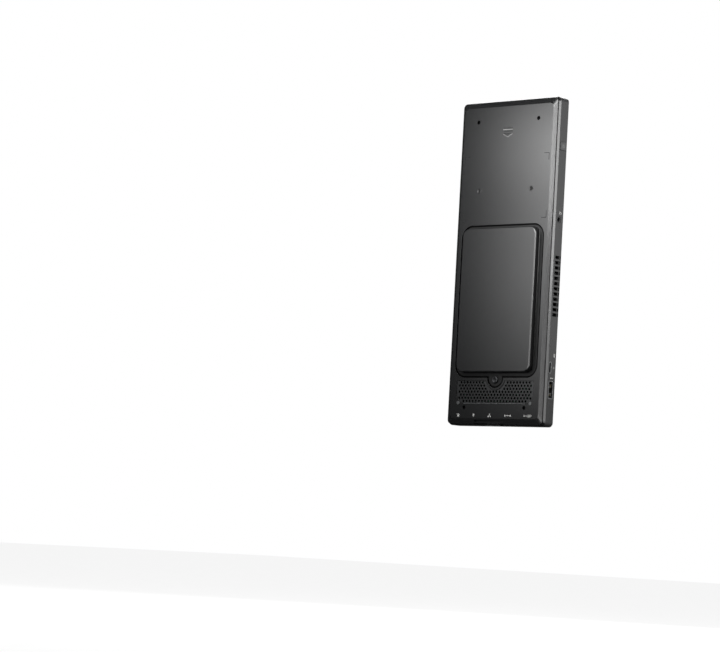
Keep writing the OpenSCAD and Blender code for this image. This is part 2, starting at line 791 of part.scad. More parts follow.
// A solid through rounded outlines, each given as height, width, length and corner radius
function outline(w, l, r, n) = [for (c = [0:3], k = [0:n])
    let (a = 90 * c + 90 * k / n,
        sx = (c == 0 || c == 3) ? 1 : -1,
        sy = (c < 2) ? 1 : -1)
    [sx * (w / 2 - r) + r * cos(a), sy * (l / 2 - r) + r * sin(a)]];

module loft(layers, n = 6) {
    count = 4 * (n + 1);
    last = len(layers) - 1;
    points = [for (s = layers, p = outline(s[1], s[2], s[3], n)) [p[0], p[1], s[0]]];
    low_face = [for (i = [0:count - 1]) i];
    high_face = [for (i = [count - 1:-1:0]) last * count + i];
    walls = [for (j = [0:last - 1], i = [0:count - 1])
        let (b = j * count, t = (j + 1) * count, k = (i + 1) % count)
        each [[b + i, t + i, t + k], [b + i, t + k, b + k]]];
    polyhedron(points = points, faces = concat([low_face, high_face], walls));
}

// Places a port with its mouth in the right side, drawn looking in
module into_side(y, z) {
    translate([port_x, y, z])
        rotate([90, 0, -90])
            children();
}

// Places a port with its mouth in the port end, drawn looking in
module into_end(x, z) {
    translate([x, port_sink, z])
        rotate([90, 0, 180])
            children();
}

// The opening for the door, grown or shrunk all round
module door_outline(grow) {
    translate([0, door_mid_y])
        round_rect(door_open_w + 2 * grow, door_open_l + 2 * grow, door_open_r + grow);
    translate([0, tongue_y])
        circle(r = tongue_r + grow);
}

// The window of the intake grille, grown or shrunk all round
module grille_outline(grow) {
    w = grille_half_w + grow;
    c = grille_corner + grow * tan(22.5);
    low = grille_low - grow;
    difference() {
        polygon([[-w, grille_top + grow], [-w, low + c], [-w + c, low], [w - c, low],
            [w, low + c], [w, grille_top + grow]]);
        translate([0, tongue_y])
            circle(r = grille_hub_r - grow);
    }
}

// One row of the vents on the right side
module vent_cuts() {
    for (i = [0:vent_count - 1]) {
        y = vent_y + i * vent_pitch;
        block(in_half - over, half_w + over, y, y + vent_slot, vent_low, vent_low + vent_l);
        block(half_w - vent_blind_d, half_w + over, y, y + vent_slot,
            vent_low - vent_rib - vent_blind_l, vent_low - vent_rib);
    }
}

// A cut through the right side or the port end
module side_cut(y, z) {
    translate([in_half - over, y, z])
        rotate([90, 0, 90])
            linear_extrude(wall_t + 2 * over)
                children();
}

module end_cut(x, z) {
    translate([x, wall_t + over, z])
        rotate([90, 0, 0])
            linear_extrude(wall_t + 2 * over)
                children();
}

// Windows for the button and the ports in the tray's walls
module port_windows() {
    gap = 2 * port_gap;
    side_cut(button_y, button_z)
        round_rect(button_l + 2 * button_gap, button_w + 2 * button_gap, button_r);
    side_cut(audio_y, audio_z)
        circle(r = audio_collar_r + port_gap);
    side_cut(side_oval_y, oval_z)
        oval(oval_w + gap, oval_h + gap);
    side_cut(side_flat_y, flat_z)
        square([flat_w + gap, flat_h + gap], center = true);
    end_cut(end_oval_x, oval_z)
        oval(oval_w + gap, oval_h + gap);
    end_cut(end_flat_x, flat_z)
        square([flat_w + gap, flat_h + gap], center = true);
    end_cut(lan_x, lan_z)
        square([lan_w + gap, lan_h + gap], center = true);
    end_cut(dc_x, dc_z)
        circle(r = dc_collar_r + port_gap);
    end_cut(lock_x, lock_z)
        oval(lock_l, lock_w);
}

// Housing
module base_tray() {
    color("#2b2c2e")
    stand_up()
    difference() {
        union() {
            difference() {
                translate([0, body_l / 2, 0])
                    loft([
                        [0, body_w - 2 * back_chamfer, body_l - 2 * back_chamfer, corner_r],
                        [back_chamfer, body_w, body_l, corner_r],
                        [seam_z - shoulder_h, body_w, body_l, corner_r],
                        [seam_z, body_w - 2 * shoulder_in, body_l - 2 * shoulder_in, corner_r]]);
                slab(in_w, in_l, in_r, body_l / 2, back_t, seam_z + over);
            }
            for (p = screw_spots)
                rod(p[0], p[1], back_t - over / 2, post_top, post_r);
            rod(0, tongue_screw_y, back_t - over / 2, post_top, post_r);
            for (p = board_spots)
                rod(p[0], p[1], back_t - over / 2, board_z, board_post_r);
        }
        for (p = screw_spots)
            rod(p[0], p[1], post_top - cover_screw_l - tip_gap, post_top + over, screw_r);
        rod(0, tongue_screw_y, back_t + tongue_floor, post_top + over, tongue_shank_r + tongue_shank_gap);
        for (p = board_spots)
            rod(p[0], p[1], board_z - board_screw_l - tip_gap, board_z + over, screw_r);
        vent_cuts();
        mirror([1, 0, 0])
            vent_cuts();
        port_windows();
    }
}

// The slide arrow on the face: two bars and a point
module slide_arrow() {
    step = arrow_bar + arrow_space;
    tip_y = -2 * step;
    translate([0, body_l - arrow_down]) {
        for (i = [0, 1])
            translate([-arrow_w / 2, -i * step - arrow_bar])
                square([arrow_w, arrow_bar]);
        polygon([[-arrow_w / 2, tip_y], [arrow_w / 2, tip_y], [0, tip_y - arrow_tip]]);
    }
}

module face_cover() {
    lip_w = in_w - 2 * nest_gap;
    lip_l = in_l - 2 * nest_gap;
    lip_in = wall_t + nest_gap + lip_t;
    rim_w = body_w - 2 * rim_in;
    rim_l = body_l - 2 * rim_in;
    color("#303134")
    stand_up()
    difference() {
        union() {
            difference() {
                translate([0, body_l / 2, 0])
                    loft([
                        [rim_z, rim_w, rim_l, corner_r],
                        [rim_z + rim_h, rim_w, rim_l, corner_r],
                        [body_t, body_w - 2 * bevel_side, body_l - 2 * bevel_end, corner_r]]);
                slab(lip_w - 2 * lip_t, lip_l - 2 * lip_t, in_r - lip_t, body_l / 2, rim_z - over, cover_z);
            }
            difference() {
                slab(lip_w, lip_l, in_r, body_l / 2, lip_z, rim_z + rim_h);
                slab(lip_w - 2 * lip_t, lip_l - 2 * lip_t, in_r - lip_t, body_l / 2, lip_z - over, body_t);
            }
            for (p = screw_spots)
                rod(p[0], p[1], post_top + pass_gap, cover_z + over, post_r);
            translate([0, 0, ledge_z])
                linear_extrude(cover_z + over - ledge_z)
                    door_outline(ledge_out);
            block(latch_left - latch_floor, latch_left + latch_w + latch_floor, lip_in - over,
                latch_reach + latch_floor, latch_z - latch_floor, cover_z + over);
        }
        translate([0, 0, flange_z])
            linear_extrude(body_t + over - flange_z)
                door_outline(0);
        translate([0, 0, ledge_z - over])
            linear_extrude(flange_z + 2 * over - ledge_z)
                door_outline(-ledge_w);
        translate([0, 0, cover_z - over])
            linear_extrude(cover_t + 2 * over)
                grille_outline(0);
        for (p = screw_spots) {
            rod(p[0], p[1], well_floor, body_t + over, screw_well_r);
            rod(p[0], p[1], post_top - over, well_floor + over, screw_r + pass_gap);
        }
        for (x = [-dimple_x, dimple_x])
            translate([x, body_l - dimple_down, body_t - dimple_d])
                cylinder(r1 = dimple_floor_r, r2 = dimple_r, h = dimple_d);
        for (x = [-stake_x, stake_x])
            rod(x, stake_y, cover_z - over, body_t + over, stake_pin_r);
        translate([latch_left + latch_w / 2, 0, latch_z])
            linear_extrude(latch_d + over)
                round_rect(latch_w, 2 * latch_reach, latch_r);
        for (y = pry_spots, side = [0, 1])
            mirror([side, 0, 0])
                block(half_w - rim_in - pry_d, half_w + over, y, y + pry_l, rim_z - over, rim_z + rim_h);
        block(lan_x - lan_w / 2 - nest_gap, lan_x + lan_w / 2 + nest_gap, -over, lan_l + 2 * nest_gap,
            lip_z - over, lan_z + lan_h / 2 + nest_gap);
        translate([0, 0, body_t - arrow_d])
            linear_extrude(arrow_d + over)
                slide_arrow();
    }
}

module intake_grille() {
    field_top = body_t - grille_sink;
    flange_low = cover_z - grille_flange_t;
    half_count = floor(grille_half_w / grille_pitch_x);
    margin = grille_hole / 2 + grille_border;
    first_y = grille_top - margin;
    holes = [for (row = [0:grille_rows - 1], i = [-half_count:half_count])
        let (x = (i + (row % 2) / 2) * grille_pitch_x,
            y = first_y - row * grille_pitch_y,
            cut = max(0, grille_corner - (y - grille_low)))
        if (abs(x) < grille_half_w - margin - cut && norm([x, y - tongue_y]) > grille_hub_r + margin)
            [x, y]];
    color("#232426")
    stand_up()
    difference() {
        union() {
            translate([0, 0, flange_low])
                linear_extrude(field_top - flange_low)
                    grille_outline(-nest_gap / 2);
            difference() {
                translate([0, 0, flange_low])
                    linear_extrude(grille_flange_t)
                        grille_outline(grille_flange_w);
                translate([0, 0, flange_low - over])
                    linear_extrude(grille_flange_t + 2 * over)
                        door_outline(ledge_out + nest_gap);
            }
        }
        for (p = holes)
            rod(p[0], p[1], flange_low - over, field_top + over, grille_hole / 2);
        for (p = screw_spots)
            rod(p[0], p[1], flange_low - over, cover_z + over, post_r + nest_gap);
    }
}

module grille_stakes() {
    color("#55575a")
    stand_up()
    for (x = [-stake_x, stake_x]) {
        rod(x, stake_y, cover_z, body_t, stake_pin_r);
        rod(x, stake_y, body_t, body_t + stake_rise, stake_r);
    }
}

module small_screw(z, shank) {
    difference() {
        union() {
            translate([0, 0, z])
                cylinder(r = screw_head_r, h = screw_head_h);
            translate([0, 0, z - shank])
                cylinder(r = screw_r, h = shank);
        }
        for (turn = [0, 90])
            translate([0, 0, z + screw_head_h])
                rotate([0, 0, turn])
                    cube([screw_cross_l, screw_cross, screw_head_h], center = true);
    }
}

module cover_screws() {
    color("#6d6f72")
    stand_up()
    for (p = screw_spots)
        translate([p[0], p[1], 0])
            small_screw(well_floor, well_floor - post_top + cover_screw_l);
}

// Drive and its door
module drive_door() {
    flange_top = flange_z + flange_t;
    edge_mid = lid_edge * (1 - sqrt(0.5));
    color("#37383b")
    stand_up()
    difference() {
        union() {
            translate([0, 0, flange_z])
                linear_extrude(flange_t)
                    door_outline(-door_gap);
            translate([0, lid_mid_y, 0])
                loft([
                    [tongue_head_z, lid_w + 2 * lid_foot, lid_l + 2 * lid_foot, lid_r + lid_foot],
                    [flange_top + lid_foot / 8, lid_w + 2 * lid_foot, lid_l + 2 * lid_foot, lid_r + lid_foot],
                    [flange_top + lid_foot, lid_w, lid_l, lid_r],
                    [lid_top - lid_edge, lid_w, lid_l, lid_r],
                    [lid_top - edge_mid, lid_w - 2 * edge_mid, lid_l - 2 * edge_mid, lid_r - edge_mid],
                    [lid_top, lid_w - 2 * lid_edge, lid_l - 2 * lid_edge, lid_r - lid_edge]], 8);
        }
        slab(lid_w - 2 * lid_wall, lid_l - 2 * lid_wall, lid_in_r, lid_mid_y, flange_z - over, lid_in);
        rod(0, tongue_screw_y, flange_z - over, body_t, tongue_shank_r + tongue_shank_gap);
        rod(0, tongue_screw_y, tongue_head_z, body_t, tongue_head_r + tongue_head_gap);
    }
}

module drive_bracket() {
    side_in = bracket_half - bracket_t;
    color("#a7a9ac")
    stand_up()
    difference() {
        union() {
            block(-bracket_half, bracket_half, drive_y, plug_y, bracket_z, drive_z);
            for (side = [0, 1])
                mirror([side, 0, 0])
                    block(side_in, bracket_half, drive_y, plug_y, bracket_z, flange_z);
        }
        for (side = [0, 1])
            mirror([side, 0, 0])
                block(bracket_rib / 2, bracket_rib / 2 + bracket_open_w, drive_y + drive_screw_end,
                    plug_y - drive_screw_end, bracket_z - over, drive_z + over);
        for (p = drive_spots)
            rod(p[0], p[1], bracket_z - over, drive_z + over, screw_r + pass_gap);
    }
}

module storage_drive() {
    color("#8b8d90")
    stand_up()
    difference() {
        slab(drive_w, drive_l, drive_r, drive_y + drive_l / 2, drive_z, drive_top);
        for (p = drive_spots)
            rod(p[0], p[1], drive_z - over, drive_z + drive_screw_l + nest_gap, screw_r);
    }
}

module drive_screws() {
    head_z = bracket_z - drive_screw_h;
    color("#b9bbbd")
    stand_up()
    for (p = drive_spots) {
        rod(p[0], p[1], head_z, bracket_z, screw_head_r);
        rod(p[0], p[1], head_z, drive_z + drive_screw_l, screw_r);
    }
}

module drive_plug() {
    half = drive_plug_w / 2;
    color("#1d1e20")
    stand_up() {
        block(-half, half, plug_y, plug_y + drive_plug_l, plug_z, plug_z + drive_plug_h);
        block(-drive_blade_w / 2, drive_blade_w / 2, blade_y - drive_blade_t / 2, blade_y + drive_blade_t / 2,
            blade_low, plug_z + over);
    }
}

module drive_socket() {
    half = socket_half - socket_wall;
    depth = socket_depth - socket_wall;
    socket_top = bracket_z - socket_drop;
    color("#3a3a3c")
    stand_up()
    difference() {
        block(-socket_half, socket_half, blade_y - socket_depth, blade_y + socket_depth,
            board_top, socket_top);
        block(-half, half, blade_y - depth, blade_y + depth, blade_low - drive_blade_gap, socket_top + over);
    }
}

module bay_shield() {
    low_y = door_open_y + ledge_w + shield_gap;
    high_y = door_open_y + door_open_l - ledge_w - shield_gap;
    half = socket_half + nest_gap;
    depth = socket_depth + nest_gap;
    leg_x = shield_half_w - shield_leg;
    rows = floor((blade_y - depth - low_y) / (2 * shield_hole));
    color("#9a9c9f")
    stand_up()
    difference() {
        union() {
            block(-shield_half_w, shield_half_w, low_y, high_y, shield_z, shield_z + shield_t);
            for (side = [0, 1], y = [low_y, high_y - shield_leg])
                mirror([side, 0, 0])
                    block(leg_x, shield_half_w, y, y + shield_leg, board_top, shield_z + shield_t);
        }
        block(-half, half, blade_y - depth, blade_y + depth, shield_z - over, shield_z + shield_t + over);
        for (i = [0:rows - 1], column = [-1, 0, 1])
            translate([column * 2 * shield_hole, low_y + shield_hole * (2 * i + 1), shield_z - over])
                linear_extrude(shield_t + 2 * over)
                    square(shield_hole, center = true);
    }
}

module tongue_screw() {
    color("#77797c")
    stand_up()
    difference() {
        union() {
            rod(0, tongue_screw_y, tongue_head_z, tongue_head_z + tongue_head_h, tongue_head_r);
            rod(0, tongue_screw_y, tongue_head_z - tongue_shank_l, tongue_head_z + over, tongue_shank_r);
        }
        for (turn = [0, 90])
            translate([0, tongue_screw_y, tongue_head_z + tongue_head_h])
                rotate([0, 0, turn])
                    cube([tongue_slot_l, tongue_slot, tongue_head_h], center = true);
    }
}

module screw_clip() {
    clip_z = flange_z - clip_t - pass_gap;
    color("#8e9093")
    stand_up()
    difference() {
        rod(0, tongue_screw_y, clip_z, clip_z + clip_t, clip_r);
        rod(0, tongue_screw_y, clip_z - over, clip_z + clip_t + over, tongue_shank_r + clip_fit);
    }
}

// Power button
module on_button(x0, x1, l, w) {
    block(x0, x1, button_y - l / 2, button_y + l / 2, button_z - w / 2, button_z + w / 2);
}

module power_button() {
    color("#26272a")
    stand_up() {
        translate([flange_x + over, button_y, button_z])
            rotate([90, 0, 90])
                linear_extrude(button_end - flange_x - over)
                    round_rect(button_l, button_w, button_r - button_gap / 2);
        on_button(flange_x, flange_x + button_flange_t, button_l + 2 * button_flange, button_w);
        on_button(stem_end, flange_x + over, button_stem, button_stem);
    }
}

module power_switch() {
    color("#1b1c1d")
    stand_up() {
        on_button(switch_x, switch_x + switch_l - plunger_l, switch_w, switch_h);
        on_button(switch_x + switch_l / 2, switch_x + switch_l, button_stem, button_stem);
    }
}

// Ports
module flat_shell() {
    difference() {
        translate([0, 0, flat_l / 2])
            cube([flat_w, flat_h, flat_l], center = true);
        translate([0, 0, flat_l / 2 - shell_t])
            cube([flat_w - 2 * shell_t, flat_h - 2 * shell_t, flat_l], center = true);
    }
}

module flat_tongue() {
    back = flat_l - shell_t;
    inner_w = flat_w - 2 * shell_t;
    inner_h = flat_h - 2 * shell_t;
    translate([0, (inner_h - flat_tongue_t) / 2 - flat_tongue_lift, (flat_tongue_sink + back) / 2])
        cube([inner_w - 2 * flat_tongue_side, flat_tongue_t, back - flat_tongue_sink], center = true);
    translate([0, 0, back - flat_block_l / 2])
        cube([inner_w, inner_h, flat_block_l], center = true);
}

module oval_shell() {
    difference() {
        linear_extrude(oval_l)
            oval(oval_w, oval_h);
        translate([0, 0, -shell_t])
            linear_extrude(oval_l)
                oval(oval_w - 2 * shell_t, oval_h - 2 * shell_t);
    }
}

module oval_tongue() {
    back = oval_l - shell_t;
    block_w = oval_w - oval_h;
    translate([0, 0, (oval_tongue_sink + back) / 2])
        cube([block_w + 2 * oval_tongue_side, oval_tongue_t, back - oval_tongue_sink], center = true);
    translate([0, 0, back - oval_block_l / 2])
        cube([block_w, oval_h - 2 * shell_t, oval_block_l], center = true);
}

module side_flat_shell() {
    color("#b4b6b8")
    stand_up()
    into_side(side_flat_y, flat_z)
        flat_shell();
}

module side_flat_tongue() {
    color("#17181a")
    stand_up()
    into_side(side_flat_y, flat_z)
        flat_tongue();
}

module side_oval_shell() {
    color("#b4b6b8")
    stand_up()
    into_side(side_oval_y, oval_z)
        oval_shell();
}

module side_oval_tongue() {
    color("#17181a")
    stand_up()
    into_side(side_oval_y, oval_z)
        oval_tongue();
}

module end_flat_shell() {
    color("#b4b6b8")
    stand_up()
    into_end(end_flat_x, flat_z)
        flat_shell();
}

module end_flat_tongue() {
    color("#17181a")
    stand_up()
    into_end(end_flat_x, flat_z)
        flat_tongue();
}

module end_oval_shell() {
    color("#b4b6b8")
    stand_up()
    into_end(end_oval_x, oval_z)
        oval_shell();
}

module end_oval_tongue() {
    color("#17181a")
    stand_up()
    into_end(end_oval_x, oval_z)
        oval_tongue();
}

module audio_jack() {
    color("#1c1d1f")
    stand_up()
    into_side(audio_y, audio_z)
        difference() {
            union() {
                cylinder(r = audio_collar_r, h = collar_l + over);
                translate([-audio_w / 2, -audio_h / 2, collar_l])
                    cube([audio_w, audio_h, audio_l - collar_l]);
            }
            translate([0, 0, -over])
                cylinder(r = audio_r, h = audio_l + over - audio_end);
        }
}

module dc_jack() {
    color("#1a1b1c")
    stand_up()
    into_end(dc_x, dc_z)
        difference() {
            union() {
                cylinder(r = dc_collar_r, h = collar_l + over);
                translate([-dc_w / 2, -dc_w / 2, collar_l])
                    cube([dc_w, dc_w, dc_l - collar_l]);
            }
            translate([0, 0, -over])
                cylinder(r = dc_bore_r, h = dc_l + over - dc_end);
        }
}

module dc_pin() {
    color("#c3a76a")
    stand_up()
    into_end(dc_x, dc_z)
        translate([0, 0, dc_pin_sink])
            cylinder(r = dc_pin_r, h = dc_l - dc_end - dc_pin_sink);
}

module lan_jack() {
    cave_mid = lan_h / 2 - lan_roof - lan_cave_h / 2;
    latch_mid = cave_mid - lan_cave_h / 2 - lan_latch_h / 2;
    color("#9fa1a4")
    stand_up()
    into_end(lan_x, lan_z)
        difference() {
            translate([0, 0, lan_l / 2])
                cube([lan_w, lan_h, lan_l], center = true);
            translate([0, cave_mid, lan_cave_l / 2 - over])
                cube([lan_cave_w, lan_cave_h, lan_cave_l + 2 * over], center = true);
            translate([0, latch_mid + over / 2, lan_cave_l / 2 - over])
                cube([lan_latch_w, lan_latch_h + over, lan_cave_l + 2 * over], center = true);
        }
}

module lan_contacts() {
    count = 8;
    first = -(count - 1) * lan_contact_pitch / 2 - lan_contact_w / 2;
    low = lan_h / 2 - lan_roof - lan_contact_drop - lan_contact_t;
    color("#c9a24a")
    stand_up()
    into_end(lan_x, lan_z)
        for (i = [0:count - 1])
            translate([first + i * lan_contact_pitch, low, lan_contact_sink])
                cube([lan_contact_w, lan_contact_t, lan_cave_l - lan_contact_sink]);
}

module lock_plate() {
    color("#a2a4a7")
    stand_up()
    translate([lock_x, wall_t + lock_plate_t, lock_z])
        rotate([90, 0, 0])
            linear_extrude(lock_plate_t)
                difference() {
                    square([lock_l + 2 * lock_margin, lock_w + 2 * lock_margin], center = true);
                    oval(lock_l, lock_w);
                }
}

// Board and what it carries
module system_board() {
    board_half = in_half - board_gap;
    gap = nest_gap;
    low = board_low_y;
    color("#1f4a33")
    stand_up()
    translate([0, 0, board_z])
    linear_extrude(board_t)
    difference() {
        translate([-board_half, low])
            square([2 * board_half, board_high_y - low]);
        translate([lan_x - lan_w / 2 - gap, 0])
            square([lan_w + 2 * gap, port_sink + lan_l + gap]);
        translate([end_flat_x - flat_w / 2 - gap, 0])
            square([flat_w + 2 * gap, port_sink + flat_l + gap]);
        translate([dc_x - dc_w / 2 - gap, 0])
            square([dc_w + 2 * gap, port_sink + dc_l + gap]);
        translate([lock_x - lock_l / 2 - lock_margin - gap, 0])
            square([lock_l + 2 * (lock_margin + gap), wall_t + lock_plate_t + gap]);
        translate([port_x - flat_l - gap, side_flat_y - flat_w / 2 - gap])
            square([flat_l, flat_w + 2 * gap]);
        translate([port_x - audio_l - gap, audio_y - audio_w / 2 - gap])
            square([audio_l, audio_w + 2 * gap]);
        translate([switch_x, button_y - button_l / 2 - button_flange - 2 * gap])
            square([in_half, button_l + 2 * button_flange + 4 * gap]);
        translate([fan_x - fan_r - gap, fan_y - fan_r - gap])
            square([in_half + fan_r, 2 * (fan_r + gap)]);
        for (p = screw_spots)
            translate(p)
                circle(r = post_r + gap);
        translate([0, tongue_screw_y])
            circle(r = post_r + gap);
        for (p = board_spots)
            translate(p)
                circle(r = screw_r + pass_gap);
    }
}

module board_screws() {
    color("#a9abad")
    stand_up()
    for (p = board_spots)
        translate([p[0], p[1], 0])
            small_screw(board_top, board_t + board_screw_l);
}

// A box on the board, from its middle, its half sizes and two heights
module on_board(x, y, half_x, half_y, z0, z1) {
    block(x - half_x, x + half_x, y - half_y, y + half_y, z0, z1);
}

module board_chips() {
    color("#151617")
    stand_up()
    for (c = chips)
        on_board(c[0], c[1], c[2] / 2, c[3] / 2, board_top, board_top + chip_h);
}

module processor() {
    color("#2a5a3c")
    stand_up() {
        on_board(cpu_x, cpu_y, cpu_half_w, cpu_half_l, board_top, board_top + cpu_carrier_t);
        on_board(cpu_x, cpu_y, die_half_w, die_half_l, board_top, board_top + cpu_h);
    }
}

module cold_plate() {
    color("#b87333")
    stand_up()
    on_board(cpu_x, cpu_y, cpu_half_w, cpu_half_l, pipe_z - plate_t, pipe_z);
}

module heat_pipe() {
    low_y = fan_y - fin_half_l + pipe_low;
    turn_y = cpu_y - pipe_bend;
    turn_x = pipe_x - pipe_bend;
    end_x = cpu_x - pipe_reach;
    color("#b0693a")
    stand_up()
    translate([0, 0, pipe_z])
    linear_extrude(pipe_t) {
        translate([pipe_x - pipe_w / 2, low_y])
            square([pipe_w, turn_y - low_y]);
        translate([pipe_x, low_y])
            circle(r = pipe_w / 2);
        intersection() {
            translate([turn_x, turn_y])
                difference() {
                    circle(r = pipe_bend + pipe_w / 2);
                    circle(r = pipe_bend - pipe_w / 2);
                }
            translate([turn_x, turn_y])
                square(pipe_bend + pipe_w);
        }
        translate([end_x, cpu_y - pipe_w / 2])
            square([turn_x - end_x, pipe_w]);
        translate([end_x, cpu_y])
            circle(r = pipe_w / 2);
    }
}

module fin_stack() {
    low_y = fan_y - fin_half_l + fan_wall;
    run = 2 * (fin_half_l - fan_wall) - fin_t;
    step = run / (fin_count - 1);
    color("#c4c6c9")
    stand_up() {
        block(fin_x, fin_x + fin_w, low_y, low_y + run + fin_t, pipe_z - fin_t, pipe_z);
        for (i = [0:fin_count - 1])
            translate([fin_x, low_y + i * step, fan_z])
                cube([fin_w, fin_t, pipe_z - fin_t / 2 - fan_z]);
    }
}

module fan_outline(r) {
    translate([fan_x, fan_y])
        circle(r = r);
    translate([fan_x, fan_y - r])
        square([fan_exit - fan_x, 2 * r]);
}

module fan_housing() {
    inner_r = fan_r - fan_wall;
    color("#222325")
    stand_up() {
        difference() {
            translate([0, 0, fan_z])
                linear_extrude(fan_h - fan_floor)
                    fan_outline(fan_r);
            translate([0, 0, fan_z + fan_floor])
                linear_extrude(fan_h)
                    fan_outline(inner_r);
            block(fan_exit - fan_wall, fan_exit + over, fan_y - inner_r, fan_y + inner_r,
                fan_z + fan_floor, fan_top);
        }
        rod(fan_x, fan_y, fan_z + fan_floor / 2, fan_top - fan_floor - rotor_high_gap - pass_gap, pin_r);
    }
}

module fan_cover() {
    color("#2d2e30")
    stand_up()
    translate([0, 0, fan_top - fan_floor])
    linear_extrude(fan_floor)
    difference() {
        fan_outline(fan_r);
        translate([fan_x, fan_y])
            circle(r = inlet_r);
    }
}

module fan_rotor() {
    low = fan_z + fan_floor + rotor_low_gap;
    high = fan_top - fan_floor - rotor_high_gap;
    color("#18191a")
    stand_up()
    translate([fan_x, fan_y, 0])
    difference() {
        union() {
            translate([0, 0, low])
                cylinder(r = hub_r, h = high - low);
            intersection() {
                for (i = [0:blade_count - 1])
                    rotate([0, 0, i * 360 / blade_count])
                        translate([hub_r - blade_root, 0, low])
                            rotate([0, 0, blade_lean])
                                translate([0, -blade_t / 2, 0])
                                    cube([rotor_r, blade_t, high - low]);
                translate([0, 0, low - over])
                    cylinder(r = rotor_r, h = high - low + 2 * over);
            }
        }
        translate([0, 0, low - over])
            cylinder(r = pin_r + pin_gap, h = high - low + 2 * over);
    }
}

// Memory and cards
module memory_module_at(z) {
    half = memory_w / 2;
    y0 = memory_y - nest_gap;
    chip_y = y0 + memory_chip_up;
    step = (memory_w - 2 * memory_chip_in - memory_chip_w) / (memory_chips - 1);
    block(-half, half, y0, y0 + memory_l, z, z + memory_t);
    for (i = [0:memory_chips - 1])
        translate([i * step - half + memory_chip_in, chip_y, z + memory_t])
            cube([memory_chip_w, memory_chip_l, card_chip_h]);
}

module memory_socket() {
    half = memory_w / 2 + memory_socket_end;
    slot = memory_w / 2 + nest_gap;
    y0 = memory_socket_y;
    color("#202123")
    stand_up()
    difference() {
        block(-half, half, y0, y0 + memory_socket_l, board_top, board_top + memory_socket_h);
        for (z = [memory_z, memory_z + memory_step])
            block(-slot, slot, y0 - over, y0 + memory_seat, z - pass_gap, z + memory_t + pass_gap);
    }
}

module memory_lower() {
    color("#22573b")
    stand_up()
    memory_module_at(memory_z);
}

module memory_upper() {
    color("#22573b")
    stand_up()
    memory_module_at(memory_z + memory_step);
}

module card_along_y(x, y0) {
    chip_y = y0 + (card_l - card_chip_l) / 2;
    difference() {
        union() {
            block(x - card_w / 2, x + card_w / 2, y0, y0 + card_l, card_z, card_top);
            block(x - card_chip_w / 2, x + card_chip_w / 2, chip_y, chip_y + card_chip_l,
                card_top - over, card_top + card_chip_h);
        }
        rod(x, y0, board_top, card_top + over, screw_r + pass_gap);
    }
}

module socket_along_y(x, y0) {
    seat = card_w / 2 + nest_gap;
    half = seat + card_socket_end;
    difference() {
        block(x - half, x + half, y0, y0 + card_socket_l, board_top, board_top + card_socket_h);
        block(x - seat, x + seat, y0 - over, y0 + card_seat + pass_gap,
            card_z - pass_gap, card_top + pass_gap);
    }
}

module standoff(x, y) {
    difference() {
        rod(x, y, board_top, card_z, screw_r + standoff_wall);
        rod(x, y, board_top + nest_gap, card_z + over, screw_r);
    }
}

module storage_socket() {
    color("#202123")
    stand_up()
    socket_along_y(storage_x, storage_y + card_l - card_seat);
}

module storage_card() {
    color("#1c3d5a")
    stand_up()
    card_along_y(storage_x, storage_y);
}

// The radio card lies across, so it is drawn along y and turned
module radio_turn() {
    translate([radio_x, radio_y + card_w / 2, 0])
        rotate([0, 0, -90])
            children();
}

module radio_socket() {
    color("#202123")
    stand_up()
    radio_turn()
        socket_along_y(0, card_l - card_seat);
}

module radio_card() {
    color("#1c3d5a")
    stand_up()
    radio_turn()
        card_along_y(0, 0);
}

module card_standoffs() {
    color("#b8a15e")
    stand_up() {
        standoff(storage_x, storage_y);
        radio_turn()
            standoff(0, 0);
    }
}

module card_screws() {
    shank = card_top - board_top - 2 * nest_gap;
    color("#a9abad")
    stand_up() {
        translate([storage_x, storage_y, 0])
            small_screw(card_top, shank);
        radio_turn()
            small_screw(card_top, shank);
    }
}

module cell_holder() {
    side = cell_r + cell_wall;
    holder_top = board_top + cell_t + cell_floor;
    color("#1d1e1f")
    stand_up()
    difference() {
        on_board(cell_x, cell_y, side, side, board_top, holder_top);
        rod(cell_x, cell_y, board_top + cell_floor, holder_top + over, cell_r + pass_gap);
    }
}

module coin_cell() {
    low = board_top + cell_floor;
    color("#c6c8ca")
    stand_up()
    rod(cell_x, cell_y, low, low + cell_t, cell_r);
}

module antennas() {
    y1 = body_l - wall_t;
    color("#b4913f")
    stand_up()
    for (side = [0, 1])
        mirror([side, 0, 0])
            block(antenna_x, antenna_x + antenna_l, y1 - antenna_t, y1, antenna_z, antenna_z + antenna_w);
}

// A stretch of lead from a point, along y or turned to run along x
module lead_along(at, run, turn = 0) {
    translate(at)
        rotate([-90, 0, turn])
            cylinder(r = lead_r, h = run);
}

// Leads from the radio card to the antennas, lying flat above the card
module antenna_leads() {
    face_y = body_l - wall_t - antenna_t;
    near_x = radio_x + lead_in;
    far_x = near_x + lead_step;
    near_y = radio_y + card_w - lead_down;
    far_y = near_y + lead_rise;
    lead_z = card_top + lead_up;
    run_y = face_y - lead_r - lead_gap;
    run_x = antenna_x + lead_reach;
    bends = [[near_x, near_y, lead_z], [far_x, run_y, lead_z], [run_x, run_y, lead_z]];
    color("#2a2b2c")
    stand_up() {
        rod(near_x, near_y, card_top, lead_z, lead_r + lead_plug);
        rod(far_x, far_y, card_top, lead_z, lead_r + lead_plug);
        for (at = bends)
            translate(at)
                sphere(r = lead_r);
        lead_along(bends[0], face_y - near_y);
        lead_along([far_x, far_y, lead_z], run_y - far_y);
        lead_along(bends[1], run_x - far_x, -90);
        lead_along(bends[2], face_y - run_y);
    }
}

